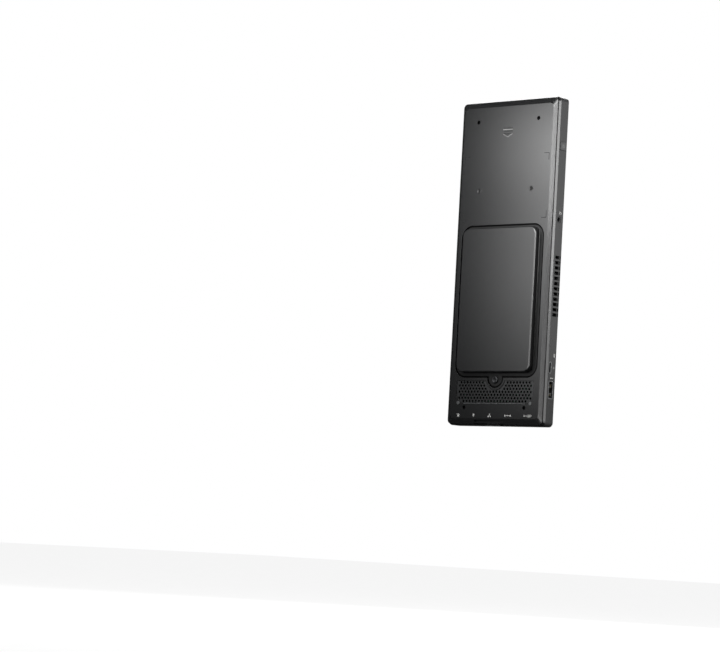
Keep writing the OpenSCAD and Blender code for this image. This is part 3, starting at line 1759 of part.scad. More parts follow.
base_tray();
face_cover();
intake_grille();
grille_stakes();
cover_screws();
drive_door();
drive_bracket();
storage_drive();
drive_screws();
drive_plug();
tongue_screw();
screw_clip();
power_button();
power_switch();
audio_jack();
side_oval_shell();
side_oval_tongue();
side_flat_shell();
side_flat_tongue();
end_oval_shell();
end_oval_tongue();
end_flat_shell();
end_flat_tongue();
lan_jack();
lan_contacts();
dc_jack();
dc_pin();
lock_plate();
system_board();
board_screws();
board_chips();
processor();
cold_plate();
heat_pipe();
fin_stack();
fan_housing();
fan_cover();
fan_rotor();
memory_socket();
memory_lower();
memory_upper();
storage_socket();
storage_card();
radio_socket();
radio_card();
card_standoffs();
card_screws();
cell_holder();
coin_cell();
antennas();
antenna_leads();
drive_socket();
bay_shield();
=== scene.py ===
"""Looks of the slim computer module: finishes, printed marks and small details on the CAD frame."""
import math

import bmesh
import bpy
from mathutils import Matrix, Vector


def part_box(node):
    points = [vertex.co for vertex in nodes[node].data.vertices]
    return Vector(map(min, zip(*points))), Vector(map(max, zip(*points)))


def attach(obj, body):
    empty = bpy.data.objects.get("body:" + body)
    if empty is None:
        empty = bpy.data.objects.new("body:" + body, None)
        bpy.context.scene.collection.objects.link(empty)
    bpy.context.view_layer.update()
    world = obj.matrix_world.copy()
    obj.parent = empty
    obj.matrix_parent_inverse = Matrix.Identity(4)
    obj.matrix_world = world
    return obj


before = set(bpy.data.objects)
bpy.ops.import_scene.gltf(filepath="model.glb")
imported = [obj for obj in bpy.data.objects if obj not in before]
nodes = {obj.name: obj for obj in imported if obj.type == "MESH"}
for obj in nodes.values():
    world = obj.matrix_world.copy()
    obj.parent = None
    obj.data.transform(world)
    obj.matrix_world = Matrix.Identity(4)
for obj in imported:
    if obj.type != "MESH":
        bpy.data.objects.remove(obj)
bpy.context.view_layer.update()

MM = 0.001

# Places taken from the frame
tray_low, tray_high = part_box("base_tray")
port_end = tray_low.z
side_x = tray_high.x
face_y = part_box("face_cover")[0].y
lid_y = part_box("drive_door")[0].y


def on_face(across, up, out=0.0):
    """A point on the face, in mm from its middle line and from the port end."""
    return Vector((across * MM, face_y - out * MM, port_end + up * MM))


def on_side(up, depth, out=0.0):
    """A point on the ports side, in mm from the port end and from the back."""
    return Vector((side_x + out * MM, -depth * MM, port_end + up * MM))


def end_box(name, axis, high):
    """Lowest and highest corner of the outermost face of a node along an axis."""
    low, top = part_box(name)
    reach = (top if high else low)[axis]
    points = [nodes[name].matrix_world @ v.co for v in nodes[name].data.vertices]
    points = [p for p in points if abs(p[axis] - reach) < 0.005 * MM]
    return (Vector(min(p[i] for p in points) for i in range(3)),
            Vector(max(p[i] for p in points) for i in range(3)))


def middle(low, high):
    return (low + high) / 2


def end_middle(name, axis, high):
    """Middle of a node's box, moved out to its highest or lowest side along an axis."""
    low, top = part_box(name)
    point = middle(low, top)
    point[axis] = (top if high else low)[axis]
    return point


# Axes of flat things: right, up and outwards
FACE_AXES = (Vector((1, 0, 0)), Vector((0, 0, 1)), Vector((0, -1, 0)))
SIDE_AXES = (Vector((0, 1, 0)), Vector((0, 0, 1)), Vector((1, 0, 0)))
END_AXES = (Vector((1, 0, 0)), Vector((0, 1, 0)), Vector((0, 0, -1)))


# Shader helpers
def socket_group(name, inputs, outputs):
    """A node group with its sockets: the group, what it is given and what it puts out."""
    group = bpy.data.node_groups.new(name, "ShaderNodeTree")
    for label, kind, value in inputs:
        group.interface.new_socket(label, in_out="INPUT", socket_type=kind).default_value = value
    for label, kind in outputs:
        group.interface.new_socket(label, in_out="OUTPUT", socket_type=kind)
    return group, group.nodes.new("NodeGroupInput").outputs, group.nodes.new("NodeGroupOutput").inputs


def put(tree, socket, value):
    """Links a socket to another one, or sets its value."""
    if isinstance(value, bpy.types.NodeSocket):
        tree.links.new(value, socket)
    else:
        socket.default_value = value


def add(tree, kind, settings=None, **inputs):
    """A node with its settings and inputs."""
    made = tree.nodes.new(kind)
    for label, value in (settings or {}).items():
        setattr(made, label, value)
    for label, value in inputs.items():
        put(tree, made.inputs[label.replace("_", " ")], value)
    return made


def calc(tree, operation, first, second=0.0, third=0.0):
    made = tree.nodes.new("ShaderNodeMath")
    made.operation = operation
    for socket, value in zip(made.inputs, (first, second, third)):
        put(tree, socket, value)
    return made.outputs[0]


def blend_colours(tree, share, first, second):
    made = tree.nodes.new("ShaderNodeMix")
    made.data_type = "RGBA"
    put(tree, made.inputs[0], share)
    put(tree, made.inputs[6], first)
    put(tree, made.inputs[7], second)
    return made.outputs[2]


def spread(tree, value, low, high, to_low=0.0, to_high=1.0, smooth=True):
    """Takes a value between two bounds to another range, with soft or with even steps."""
    made = tree.nodes.new("ShaderNodeMapRange")
    made.interpolation_type = "SMOOTHSTEP" if smooth else "LINEAR"
    for label, given in (("Value", value), ("From Min", low), ("From Max", high),
                         ("To Min", to_low), ("To Max", to_high)):
        put(tree, made.inputs[label], given)
    return made.outputs["Result"]


def place_in(tree):
    return tree.nodes.new("ShaderNodeTexCoord").outputs["Object"]


def turning(tree, radius):
    """One on flat faces, less where the surface turns within a radius in metres."""
    rounded = add(tree, "ShaderNodeBevel", {"samples": 4}, Radius=radius)
    facing = add(tree, "ShaderNodeVectorMath", {"operation": "DOT_PRODUCT"})
    tree.links.new(rounded.outputs["Normal"], facing.inputs[0])
    tree.links.new(tree.nodes.new("ShaderNodeNewGeometry").outputs["Normal"], facing.inputs[1])
    return facing.outputs["Value"]


# Effects that several finishes share
def build_moulded_grain():
    """Fine pits of a spark-eroded mould, as a height."""
    tree, given, made = socket_group(
        "moulded_grain",
        [("Cells per metre", "NodeSocketFloat", 3500.0)],
        [("Height", "NodeSocketFloat")])
    place = place_in(tree)
    fine = add(tree, "ShaderNodeTexNoise", Vector=place, Scale=given[0], Detail=3.0, Roughness=0.65)
    wide = calc(tree, "MULTIPLY", given[0], 0.45)
    pits = add(tree, "ShaderNodeTexVoronoi", {"feature": "SMOOTH_F1"}, Vector=place, Scale=wide)
    height = calc(tree, "MULTIPLY_ADD", pits.outputs["Distance"], 0.6, fine.outputs[0])
    tree.links.new(height, made["Height"])
    return tree


def build_tone_drift():
    """Slow cloudy change of a colour and of its gloss."""
    tree, given, made = socket_group(
        "tone_drift",
        [("Colour", "NodeSocketColor", (0.05, 0.05, 0.05, 1.0)),
         ("Other colour", "NodeSocketColor", (0.04, 0.04, 0.04, 1.0)),
         ("Roughness", "NodeSocketFloat", 0.5),
         ("Drift", "NodeSocketFloat", 0.06)],
        [("Colour", "NodeSocketColor"), ("Roughness", "NodeSocketFloat")])
    place = place_in(tree)
    clouds = add(tree, "ShaderNodeTexNoise", Vector=place, Scale=38.0, Detail=4.0, Roughness=0.6)
    share = spread(tree, clouds.outputs[0], 0.35, 0.7)
    tree.links.new(blend_colours(tree, share, given["Colour"], given["Other colour"]), made["Colour"])
    swing = calc(tree, "MULTIPLY_ADD", share, given["Drift"], given["Roughness"])
    tree.links.new(swing, made["Roughness"])
    return tree


def build_edge_wear_and_highlight():
    """Rubbed edges with a painted highlight: lighter and smoother where the surface turns within a quarter of
    a millimetre.
    """
    tree, given, made = socket_group(
        "edge_wear_and_highlight",
        [("Colour", "NodeSocketColor", (0.05, 0.05, 0.05, 1.0)),
         ("Worn colour", "NodeSocketColor", (0.12, 0.12, 0.12, 1.0)),
         ("Amount", "NodeSocketFloat", 0.5)],
        [("Colour", "NodeSocketColor"), ("Mask", "NodeSocketFloat")])
    edge = spread(tree, turning(tree, 0.25 * MM), 0.99, 0.78)
    patches = add(tree, "ShaderNodeTexNoise", Vector=place_in(tree), Scale=420.0, Detail=3.0)
    broken = calc(tree, "MULTIPLY", edge, spread(tree, patches.outputs[0], 0.3, 0.7))
    mask = calc(tree, "MULTIPLY", broken, given["Amount"])
    tree.links.new(mask, made["Mask"])
    tree.links.new(blend_colours(tree, mask, given["Colour"], given["Worn colour"]), made["Colour"])
    return tree


def build_dust_film():
    """A thin film of dust on what faces up."""
    tree, given, made = socket_group(
        "dust_film",
        [("Colour", "NodeSocketColor", (0.05, 0.05, 0.05, 1.0)),
         ("Dust colour", "NodeSocketColor", (0.34, 0.33, 0.31, 1.0)),
         ("Amount", "NodeSocketFloat", 0.1)],
        [("Colour", "NodeSocketColor"), ("Mask", "NodeSocketFloat")])
    facing = tree.nodes.new("ShaderNodeSeparateXYZ")
    tree.links.new(tree.nodes.new("ShaderNodeNewGeometry").outputs["Normal"], facing.inputs[0])
    upward = spread(tree, facing.outputs["Z"], 0.2, 0.95)
    specks = add(tree, "ShaderNodeTexNoise", Vector=place_in(tree), Scale=900.0, Detail=5.0, Roughness=0.75)
    mask = calc(tree, "MULTIPLY", upward, spread(tree, specks.outputs[0], 0.4, 0.75))
    share = calc(tree, "MULTIPLY", mask, given["Amount"])
    tree.links.new(share, made["Mask"])
    tree.links.new(blend_colours(tree, share, given["Colour"], given["Dust colour"]), made["Colour"])
    return tree


def build_recess_shade():
    """Painted shade: black colour and more roughness on sunk faces and on the rims about them, with a mask
    for killing their reflections.

    The mask comes from the depth along Y and from edges within a rim, inside a width and two heights.
    """
    tree, given, made = socket_group(
        "recess_shade",
        [("Colour", "NodeSocketColor", (0.05, 0.05, 0.05, 1.0)),
         ("Shade colour", "NodeSocketColor", (0.004, 0.004, 0.004, 1.0)),
         ("Roughness", "NodeSocketFloat", 0.3),
         ("From", "NodeSocketFloat", 0.0), ("To", "NodeSocketFloat", 1.0),
         ("Half width", "NodeSocketFloat", 1.0),
         ("Low", "NodeSocketFloat", -1.0), ("High", "NodeSocketFloat", 1.0),
         ("Rim", "NodeSocketFloat", 0.0)],
        [("Colour", "NodeSocketColor"), ("Mask", "NodeSocketFloat"), ("Roughness", "NodeSocketFloat")])
    place = tree.nodes.new("ShaderNodeSeparateXYZ")
    tree.links.new(place_in(tree), place.inputs[0])
    # Painted shade grows with depth below the given surface and along rims within the given radius
    deep = spread(tree, place.outputs["Y"], given["From"], given["To"])
    rim = spread(tree, turning(tree, given["Rim"]), 0.95, 0.78)
    low_rim = calc(tree, "MULTIPLY", rim, calc(tree, "GREATER_THAN", place.outputs["Y"], given["From"]))
    sunk = calc(tree, "MAXIMUM", deep, low_rim)
    within = calc(tree, "LESS_THAN", calc(tree, "ABSOLUTE", place.outputs["X"]), given["Half width"])
    above = calc(tree, "GREATER_THAN", place.outputs["Z"], given["Low"])
    below = calc(tree, "LESS_THAN", place.outputs["Z"], given["High"])
    window = calc(tree, "MULTIPLY", calc(tree, "MULTIPLY", above, below), within)
    mask = calc(tree, "MULTIPLY", sunk, window)
    tree.links.new(mask, made["Mask"])
    tree.links.new(blend_colours(tree, mask, given["Colour"], given["Shade colour"]), made["Colour"])
    tree.links.new(calc(tree, "MULTIPLY_ADD", mask, 0.35, given["Roughness"]), made["Roughness"])
    return tree


def build_rolled_streaks():
    """Fine streaks of rolled or brushed metal along one axis, as a value and a height."""
    tree, given, made = socket_group(
        "rolled_streaks",
        [("Across", "NodeSocketVector", (2600.0, 2600.0, 60.0)),
         ("Low", "NodeSocketFloat", 0.25), ("High", "NodeSocketFloat", 0.42)],
        [("Roughness", "NodeSocketFloat"), ("Height", "NodeSocketFloat")])
    stretched = add(tree, "ShaderNodeVectorMath", {"operation": "MULTIPLY"})
    tree.links.new(place_in(tree), stretched.inputs[0])
    tree.links.new(given["Across"], stretched.inputs[1])
    lines = add(tree, "ShaderNodeTexNoise", Vector=stretched.outputs[0], Scale=1.0, Detail=4.0, Roughness=0.7)
    tree.links.new(spread(tree, lines.outputs[0], 0.3, 0.7, given["Low"], given["High"]), made["Roughness"])
    tree.links.new(lines.outputs[0], made["Height"])
    return tree


def build_copper_tracks():
    """Tracks and pads under the lacquer of a circuit board, as a mask."""
    tree, given, made = socket_group(
        "copper_tracks",
        [("Tracks per metre", "NodeSocketFloat", 700.0)],
        [("Tracks", "NodeSocketFloat"), ("Pads", "NodeSocketFloat")])
    place = place_in(tree)
    cells = add(tree, "ShaderNodeTexVoronoi", {"distance": "MANHATTAN", "feature": "F1"},
                Vector=place, Scale=calc(tree, "MULTIPLY", given[0], 0.22))
    bands = calc(tree, "FRACT", calc(tree, "MULTIPLY", cells.outputs["Distance"], 5.0))
    tree.links.new(spread(tree, bands, 0.52, 0.6), made["Tracks"])
    dots = add(tree, "ShaderNodeTexVoronoi", {"feature": "F1"}, Vector=place, Scale=given[0], Randomness=0.7)
    tree.links.new(spread(tree, dots.outputs["Distance"], 0.2, 0.14), made["Pads"])
    return tree


moulded_grain = build_moulded_grain()
tone_drift = build_tone_drift()
edge_wear_and_highlight = build_edge_wear_and_highlight()
dust_film = build_dust_film()
recess_shade = build_recess_shade()
rolled_streaks = build_rolled_streaks()
copper_tracks = build_copper_tracks()


def grey(value, warmth=0.0):
    return (value * (1 + warmth), value, value * (1 - warmth), 1.0)


def new_material(name):
    material = bpy.data.materials.new(name)
    material.use_nodes = True
    tree = material.node_tree
    return material, tree, tree.nodes["Principled BSDF"]


def use(tree, group, **inputs):
    made = tree.nodes.new("ShaderNodeGroup")
    made.node_tree = group
    for label, value in inputs.items():
        put(tree, made.inputs[label.replace("_", " ")], value)
    return made.outputs


def bump_from(tree, shader, height, depth, edge=0.0):
    """Surface relief from a height in metres, on edges rounded by a radius in mm."""
    bump = add(tree, "ShaderNodeBump", Height=height, Distance=depth)
    if edge:
        rounded = add(tree, "ShaderNodeBevel", {"samples": 4}, Radius=edge * MM)
        tree.links.new(rounded.outputs["Normal"], bump.inputs["Normal"])
    tree.links.new(bump.outputs["Normal"], shader.inputs["Normal"])


def moulded_plastic(name, tone, roughness, cells, depth, worn_and_lit=2.2, wear_and_highlight=0.35, dust=0.05, drift=0.015,
                    warmth=-0.03, edge=0.12, sunk=None):
    """Textured moulding: grain, slow drift of tone, rubbed edges lightened partly as a painted highlight, a
    little dust and painted black shade on sunk faces.
    """
    material, tree, shader = new_material(name)
    colours = use(tree, tone_drift, Colour=grey(tone, warmth), Other_colour=grey(tone * 0.86, warmth),
                  Roughness=roughness, Drift=drift)
    # Lighter edges: partly rubbing, partly a painted edge highlight
    rubbed_and_lit = use(tree, edge_wear_and_highlight, Colour=colours["Colour"], Worn_colour=grey(tone * worn_and_lit, warmth),
                 Amount=wear_and_highlight)
    dusty = use(tree, dust_film, Colour=rubbed_and_lit["Colour"], Amount=dust)
    smoother = calc(tree, "MULTIPLY_ADD", rubbed_and_lit["Mask"], -0.15, colours["Roughness"])
    colour, gloss = dusty["Colour"], calc(tree, "MULTIPLY_ADD", dusty["Mask"], 0.4, smoother)
    # Painted shade: sunk faces turn black, rougher and metallic, so that they reflect almost nothing
    if sunk:
        shaded = use(tree, recess_shade, Colour=colour, Roughness=gloss, **sunk)
        colour, gloss = shaded["Colour"], shaded["Roughness"]
        tree.links.new(shaded["Mask"], shader.inputs["Metallic"])
    tree.links.new(colour, shader.inputs["Base Color"])
    tree.links.new(gloss, shader.inputs["Roughness"])
    grain = use(tree, moulded_grain, Cells_per_metre=cells)
    bump_from(tree, shader, grain["Height"], depth, edge)
    return material


def bare_metal(name, colour, low, high, across=(2600.0, 2600.0, 60.0), depth=0.000006, wear_and_highlight=0.2):
    """Plated or rolled metal with fine streaks and rubbed edges, lightened partly as a painted highlight."""
    material, tree, shader = new_material(name)
    shader.inputs["Metallic"].default_value = 1.0
    dull = tuple(part * 0.78 for part in colour[:3]) + (1.0,)
    bright = tuple(min(1.0, part * 1.25) for part in colour[:3]) + (1.0,)
    streaks = use(tree, rolled_streaks, Across=across, Low=low, High=high)
    drift = use(tree, tone_drift, Colour=colour, Other_colour=dull)
    # Brighter edges: partly rubbing, partly a painted edge highlight
    rubbed_and_lit = use(tree, edge_wear_and_highlight, Colour=drift["Colour"], Worn_colour=bright, Amount=wear_and_highlight)
    tree.links.new(rubbed_and_lit["Colour"], shader.inputs["Base Color"])
    tree.links.new(streaks["Roughness"], shader.inputs["Roughness"])
    bump_from(tree, shader, streaks["Height"], depth)
    return material


def lacquered_board(name, lacquer, track, tracks_per_metre=700.0):
    """Circuit board: lacquer over copper tracks, with plated pads."""
    material, tree, shader = new_material(name)
    copper = use(tree, copper_tracks, Tracks_per_metre=tracks_per_metre)
    drift = use(tree, tone_drift, Colour=lacquer, Other_colour=tuple(c * 0.8 for c in lacquer[:3]) + (1.0,),
                Roughness=0.32, Drift=0.08)
    tracks = blend_colours(tree, copper["Tracks"], drift["Colour"], track)
    pads = blend_colours(tree, copper["Pads"], tracks, (0.55, 0.42, 0.2, 1.0))
    tree.links.new(pads, shader.inputs["Base Color"])
    tree.links.new(drift["Roughness"], shader.inputs["Roughness"])
    tree.links.new(calc(tree, "MULTIPLY", copper["Pads"], 0.8), shader.inputs["Metallic"])
    bump_from(tree, shader, copper["Tracks"], 0.00003)
    return material


def printed_ink(name, colour):
    """Ink laid on the plastic, a little uneven and thin at its rims."""
    material, tree, shader = new_material(name)
    thin = tuple(part * 0.82 for part in colour[:3]) + (1.0,)
    drift = use(tree, tone_drift, Colour=colour, Other_colour=thin, Roughness=0.55, Drift=0.1)
    tree.links.new(drift["Colour"], shader.inputs["Base Color"])
    tree.links.new(drift["Roughness"], shader.inputs["Roughness"])
    grain = use(tree, moulded_grain, Cells_per_metre=5000.0)
    bump_from(tree, shader, grain["Height"], 0.00001)
    return material


def painted_shade_between(surface, start, full, rim=0.0, **window):
    """Where the painted black shade starts and is full, and its rim, in mm from a surface that lies along Y.
    """
    return {"From": surface + start * MM, "To": surface + full * MM, "Rim": rim * MM, **window}


# Painted shade on sunk faces: the seam of the tray, recesses of the cover's flat face, the grille's holes and
# their rims, the door's flange
SEAM_DROP, FLANGE_DROP, FLAT_MARGIN = 2.4, 0.5, 0.1
flat_low, flat_high = end_box("face_cover", 1, False)
flat_margin = FLAT_MARGIN * MM
SEAM_SHADE = painted_shade_between(face_y + SEAM_DROP * MM, 0.3, 0.1)
COVER_SHADE = painted_shade_between(face_y, 0.0, 0.85, Half_width=flat_high.x - flat_margin,
                          Low=flat_low.z + flat_margin, High=flat_high.z - flat_margin)
GRILLE_SHADE = painted_shade_between(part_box("intake_grille")[0].y, -0.01, 0.4, rim=0.8)
FLANGE_SHADE = painted_shade_between(face_y + FLANGE_DROP * MM, -0.2, 0.2, rim=0.9)

# Finishes
tray_plastic = moulded_plastic("tray_plastic", 0.007, 0.27, 3600.0, 0.00002, sunk=SEAM_SHADE)
cover_plastic = moulded_plastic("cover_plastic", 0.007, 0.24, 3600.0, 0.00002, sunk=COVER_SHADE)
door_plastic = moulded_plastic("door_plastic", 0.007, 0.24, 4200.0, 0.000018, sunk=FLANGE_SHADE)
# The grille's tone is set lighter than the cover's as a painted highlight of light caught by its hole edges
grille_plastic = moulded_plastic("grille_plastic", 0.013, 0.3, 4200.0, 0.000018, wear_and_highlight=0.0, edge=0.05,
                                 sunk=GRILLE_SHADE)
button_plastic = moulded_plastic("button_plastic", 0.016, 0.31, 5200.0, 0.000012)
stake_plastic = moulded_plastic("stake_plastic", 0.05, 0.38, 5000.0, 0.00001, worn_and_lit=1.4)
black_moulding = moulded_plastic("black_moulding", 0.012, 0.42, 5200.0, 0.000012, wear_and_highlight=0.15, dust=0.03)
chip_resin = moulded_plastic("chip_resin", 0.014, 0.34, 6500.0, 0.000008, wear_and_highlight=0.1, dust=0.02)
tongue_plastic = moulded_plastic("tongue_plastic", 0.45, 0.4, 5200.0, 0.000008, worn_and_lit=1.5, wear_and_highlight=0.1)
lead_jacket = moulded_plastic("lead_jacket", 0.02, 0.5, 5200.0, 0.000008, wear_and_highlight=0.0, dust=0.03)
black_screw = bare_metal("black_screw", (0.008, 0.008, 0.0085, 1.0), 0.4, 0.55)
dark_screw = bare_metal("dark_screw", (0.045, 0.046, 0.048, 1.0), 0.32, 0.46, (1800.0, 1800.0, 1800.0))
zinc_sheet = bare_metal("zinc_sheet", (0.55, 0.56, 0.57, 1.0), 0.28, 0.42)
zinc_screw = bare_metal("zinc_screw", (0.36, 0.365, 0.37, 1.0), 0.24, 0.38, (1800.0, 1800.0, 1800.0))
port_steel = bare_metal("port_steel", (0.62, 0.63, 0.64, 1.0), 0.18, 0.3)
# Port shells in dark steel: painted shade of the ports' insides
shaded_shell_steel = bare_metal("shaded_shell_steel", (0.07, 0.071, 0.073, 1.0), 0.3, 0.45)
drive_alloy = bare_metal("drive_alloy", (0.5, 0.51, 0.52, 1.0), 0.3, 0.46, (90.0, 2400.0, 2400.0))
fin_alloy = bare_metal("fin_alloy", (0.4, 0.41, 0.42, 1.0), 0.28, 0.42, (90.0, 2400.0, 2400.0))
gold_contact = bare_metal("gold_contact", (0.78, 0.58, 0.25, 1.0), 0.18, 0.3)
copper = bare_metal("copper", (0.66, 0.32, 0.18, 1.0), 0.24, 0.4)
green_board = lacquered_board("green_board", (0.012, 0.07, 0.035, 1.0), (0.03, 0.13, 0.07, 1.0))
blue_board = lacquered_board("blue_board", (0.01, 0.035, 0.08, 1.0), (0.02, 0.07, 0.14, 1.0), 900.0)
white_ink = printed_ink("white_ink", (0.34, 0.34, 0.33, 1.0))
grey_ink = printed_ink("grey_ink", (0.11, 0.11, 0.108, 1.0))
dark_ink = printed_ink("dark_ink", (0.006, 0.006, 0.0065, 1.0))
dark_ink.node_tree.nodes["Principled BSDF"].inputs["Specular IOR Level"].default_value = 0.15

FINISH = {
    "base_tray": tray_plastic, "face_cover": cover_plastic, "intake_grille": grille_plastic,
    "grille_stakes": stake_plastic, "cover_screws": black_screw, "drive_door": door_plastic,
    "drive_bracket": zinc_sheet, "storage_drive": drive_alloy, "drive_screws": zinc_screw,
    "drive_plug": black_moulding, "tongue_screw": dark_screw, "screw_clip": zinc_sheet,
    "power_button": button_plastic, "power_switch": black_moulding, "audio_jack": black_moulding,
    "lan_jack": port_steel, "lan_contacts": gold_contact, "dc_jack": black_moulding,
    "dc_pin": gold_contact, "lock_plate": zinc_sheet, "system_board": green_board,
    "board_screws": zinc_screw, "board_chips": chip_resin, "processor": green_board,
    "cold_plate": copper, "heat_pipe": copper, "fin_stack": fin_alloy, "fan_housing": black_moulding,
    "fan_cover": zinc_sheet, "fan_rotor": black_moulding, "memory_socket": black_moulding,
    "memory_lower": green_board, "memory_upper": green_board, "storage_socket": black_moulding,
    "storage_card": blue_board, "radio_socket": black_moulding, "radio_card": blue_board,
    "card_standoffs": gold_contact, "card_screws": zinc_screw, "cell_holder": black_moulding,
    "coin_cell": zinc_sheet, "antennas": gold_contact, "antenna_leads": lead_jacket,
    "drive_socket": black_moulding, "bay_shield": zinc_sheet,
}
for spot in ("side", "end"):
    for shape in ("oval", "flat"):
        FINISH[f"{spot}_{shape}_shell"] = shaded_shell_steel
        FINISH[f"{spot}_{shape}_tongue"] = tongue_plastic

SCREW_EDGE, SCREW_EDGE_STEPS = 0.25, 3


def soften(piece, radius, steps):
    """Rounds the sharp edges of a CAD piece without touching its mesh."""
    weld = piece.modifiers.new("join_corners", "WELD")
    weld.merge_threshold = 0.002 * MM
    edge = piece.modifiers.new("soft_edges", "BEVEL")
    edge.limit_method = "ANGLE"
    edge.angle_limit = math.radians(18)
    edge.width = radius * MM
    edge.segments = steps
    edge.use_clamp_overlap = False
    edge.miter_outer = "MITER_ARC"
    shade = piece.modifiers.new("even_shading", "WEIGHTED_NORMAL")
    shade.weight = 60


for name, piece in nodes.items():
    piece.data.materials.clear()
    piece.data.materials.append(FINISH[name])
soften(nodes["tongue_screw"], SCREW_EDGE, SCREW_EDGE_STEPS)


# Flat shapes, as outlines in mm
def disc(x, y, radius, steps=20):
    return [(x + radius * math.cos(math.tau * i / steps), y + radius * math.sin(math.tau * i / steps))
            for i in range(steps)]


def bar(x0, y0, x1, y1, width):
    along = Vector((x1 - x0, y1 - y0)).normalized() * width / 2
    side = Vector((-along.y, along.x))
    return [(x0 - side.x, y0 - side.y), (x1 - side.x, y1 - side.y),
            (x1 + side.x, y1 + side.y), (x0 + side.x, y0 + side.y)]


def arc(x, y, inner, outer, start, end, steps=18):
    turns = [math.radians(start + (end - start) * i / steps) for i in range(steps + 1)]
    return ([(x + outer * math.cos(t), y + outer * math.sin(t)) for t in turns]
            + [(x + inner * math.cos(t), y + inner * math.sin(t)) for t in reversed(turns)])


def oval(x, y, width, height, steps=10, radius=None):
    radius = radius or min(width, height) / 2
    points = []
    for i in range(4 * steps):
        turn = math.tau * (i + 0.5) / (4 * steps)
        across, up = math.cos(turn), math.sin(turn)
        points.append((x + math.copysign(width / 2 - radius, across) + radius * across,
                       y + math.copysign(height / 2 - radius, up) + radius * up))
    return points


def oval_ring(x, y, width, height, line, radius=None):
    inner = radius and max(radius - line, 0.1)
    return (oval(x, y, width, height, radius=radius),
            oval(x, y, width - 2 * line, height - 2 * line, radius=inner))


def ring(x, y, radius, line, steps=28):
    return disc(x, y, radius, steps), disc(x, y, radius - line, steps)


# Pieces
def finish_piece(name, mesh, material, body):
    """Turns a mesh into a piece that rides on a body."""
    bmesh.ops.recalc_face_normals(mesh, faces=mesh.faces)
    data = bpy.data.meshes.new(name)
    mesh.to_mesh(data)
    mesh.free()
    data.materials.append(material)
    piece = bpy.data.objects.new(name, data)
    bpy.context.scene.collection.objects.link(piece)
    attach(piece, body)
    return piece


def raise_outline(mesh, outline, spot, rise):
    """A closed block over an outline."""
    foot = [mesh.verts.new(spot(x, y, 0.0)) for x, y in outline]
    top = [mesh.verts.new(spot(x, y, rise)) for x, y in outline]
    mesh.faces.new(foot[::-1])
    mesh.faces.new(top)
    for i in range(len(outline)):
        j = (i + 1) % len(outline)
        mesh.faces.new((foot[i], foot[j], top[j], top[i]))


def raise_ring(mesh, outer, inner, spot, rise):
    """A closed ring between two outlines."""
    loops = [[mesh.verts.new(spot(x, y, high)) for x, y in outline]
             for outline, high in ((outer, 0.0), (outer, rise), (inner, rise), (inner, 0.0))]
    for k in range(4):
        near, far = loops[k], loops[(k + 1) % 4]
        for i in range(len(outer)):
            j = (i + 1) % len(outer)
            mesh.faces.new((near[i], near[j], far[j], far[i]))


def flat_piece(name, shapes, centre, axes, material, slot, body="chassis", rise=0.025):
    """Outlines and rings laid on a surface, a hair proud of it."""
    right, up, out = axes

    def spot(x, y, high):
        return centre + (right * x + up * y + out * high) * MM

    mesh = bmesh.new()
    for shape in shapes:
        if isinstance(shape, tuple):
            raise_ring(mesh, shape[0], shape[1], spot, rise)
        else:
            raise_outline(mesh, shape, spot, rise)
    return finish_piece(name, mesh, material, body)


def turned_piece(name, profile, centre, axes, material, body="chassis", steps=40):
    """A closed profile of radius and height in mm, turned about the outward axis."""
    right, up, out = axes
    mesh = bmesh.new()
    loops = []
    for i in range(steps):
        turn = math.tau * i / steps
        arm = right * math.cos(turn) + up * math.sin(turn)
        loops.append([mesh.verts.new(centre + (arm * r + out * h) * MM) for r, h in profile])
    for i in range(steps):
        near, far = loops[i], loops[(i + 1) % steps]
        for k in range(len(profile)):
            m = (k + 1) % len(profile)
            mesh.faces.new((near[k], near[m], far[m], far[k]))
    return finish_piece(name, mesh, material, body)


def strip_row(name, profile, width, places, centre, axes, material, body="chassis"):
    """Sheet strips side by side: a closed profile of depth and height in mm, given a width."""
    across, inwards, out = axes
    mesh = bmesh.new()
    for place in places:
        sides = [[mesh.verts.new(centre + (across * (place + half) + inwards * d + out * h) * MM)
                  for d, h in profile] for half in (-width / 2, width / 2)]
        mesh.faces.new(sides[0][::-1])
        mesh.faces.new(sides[1])
        for k in range(len(profile)):
            m = (k + 1) % len(profile)
            mesh.faces.new((sides[0][k], sides[0][m], sides[1][m], sides[1][k]))
    return finish_piece(name, mesh, material, body)


# Printed marks above the ports of the lower end
MARK_UP = 7.75
INK = (white_ink, "stake_plastic")
mark_at = {name: middle(*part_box(name)).x / MM
           for name in ("lock_plate", "dc_jack", "lan_jack", "end_flat_shell", "end_oval_shell")}
flat_piece("mark_lock", [
    [(-0.95, -1.1), (0.95, -1.1), (0.95, 0.35), (-0.95, 0.35)], arc(0, 0.35, 0.45, 0.75, 0, 180)],
    on_face(mark_at["lock_plate"], MARK_UP), FACE_AXES, *INK)
flat_piece("mark_power", [
    oval(0, 0.1, 1.5, 1.5), bar(-0.4, 0.7, -0.4, 1.5, 0.32), bar(0.4, 0.7, 0.4, 1.5, 0.32),
    bar(0, -0.5, 0, -1.5, 0.32)],
    on_face(mark_at["dc_jack"], MARK_UP), FACE_AXES, *INK)
flat_piece("mark_network", [
    [(-0.5, 0.5), (0.5, 0.5), (0.5, 1.4), (-0.5, 1.4)],
    [(-1.5, -1.3), (-0.6, -1.3), (-0.6, -0.4), (-1.5, -0.4)],
    [(0.6, -1.3), (1.5, -1.3), (1.5, -0.4), (0.6, -0.4)],
    bar(0, 0.5, 0, 0.0, 0.25), bar(-1.05, 0.0, 1.05, 0.0, 0.25),
    bar(-1.05, 0.0, -1.05, -0.4, 0.25), bar(1.05, 0.0, 1.05, -0.4, 0.25)],
    on_face(mark_at["lan_jack"], MARK_UP), FACE_AXES, *INK)
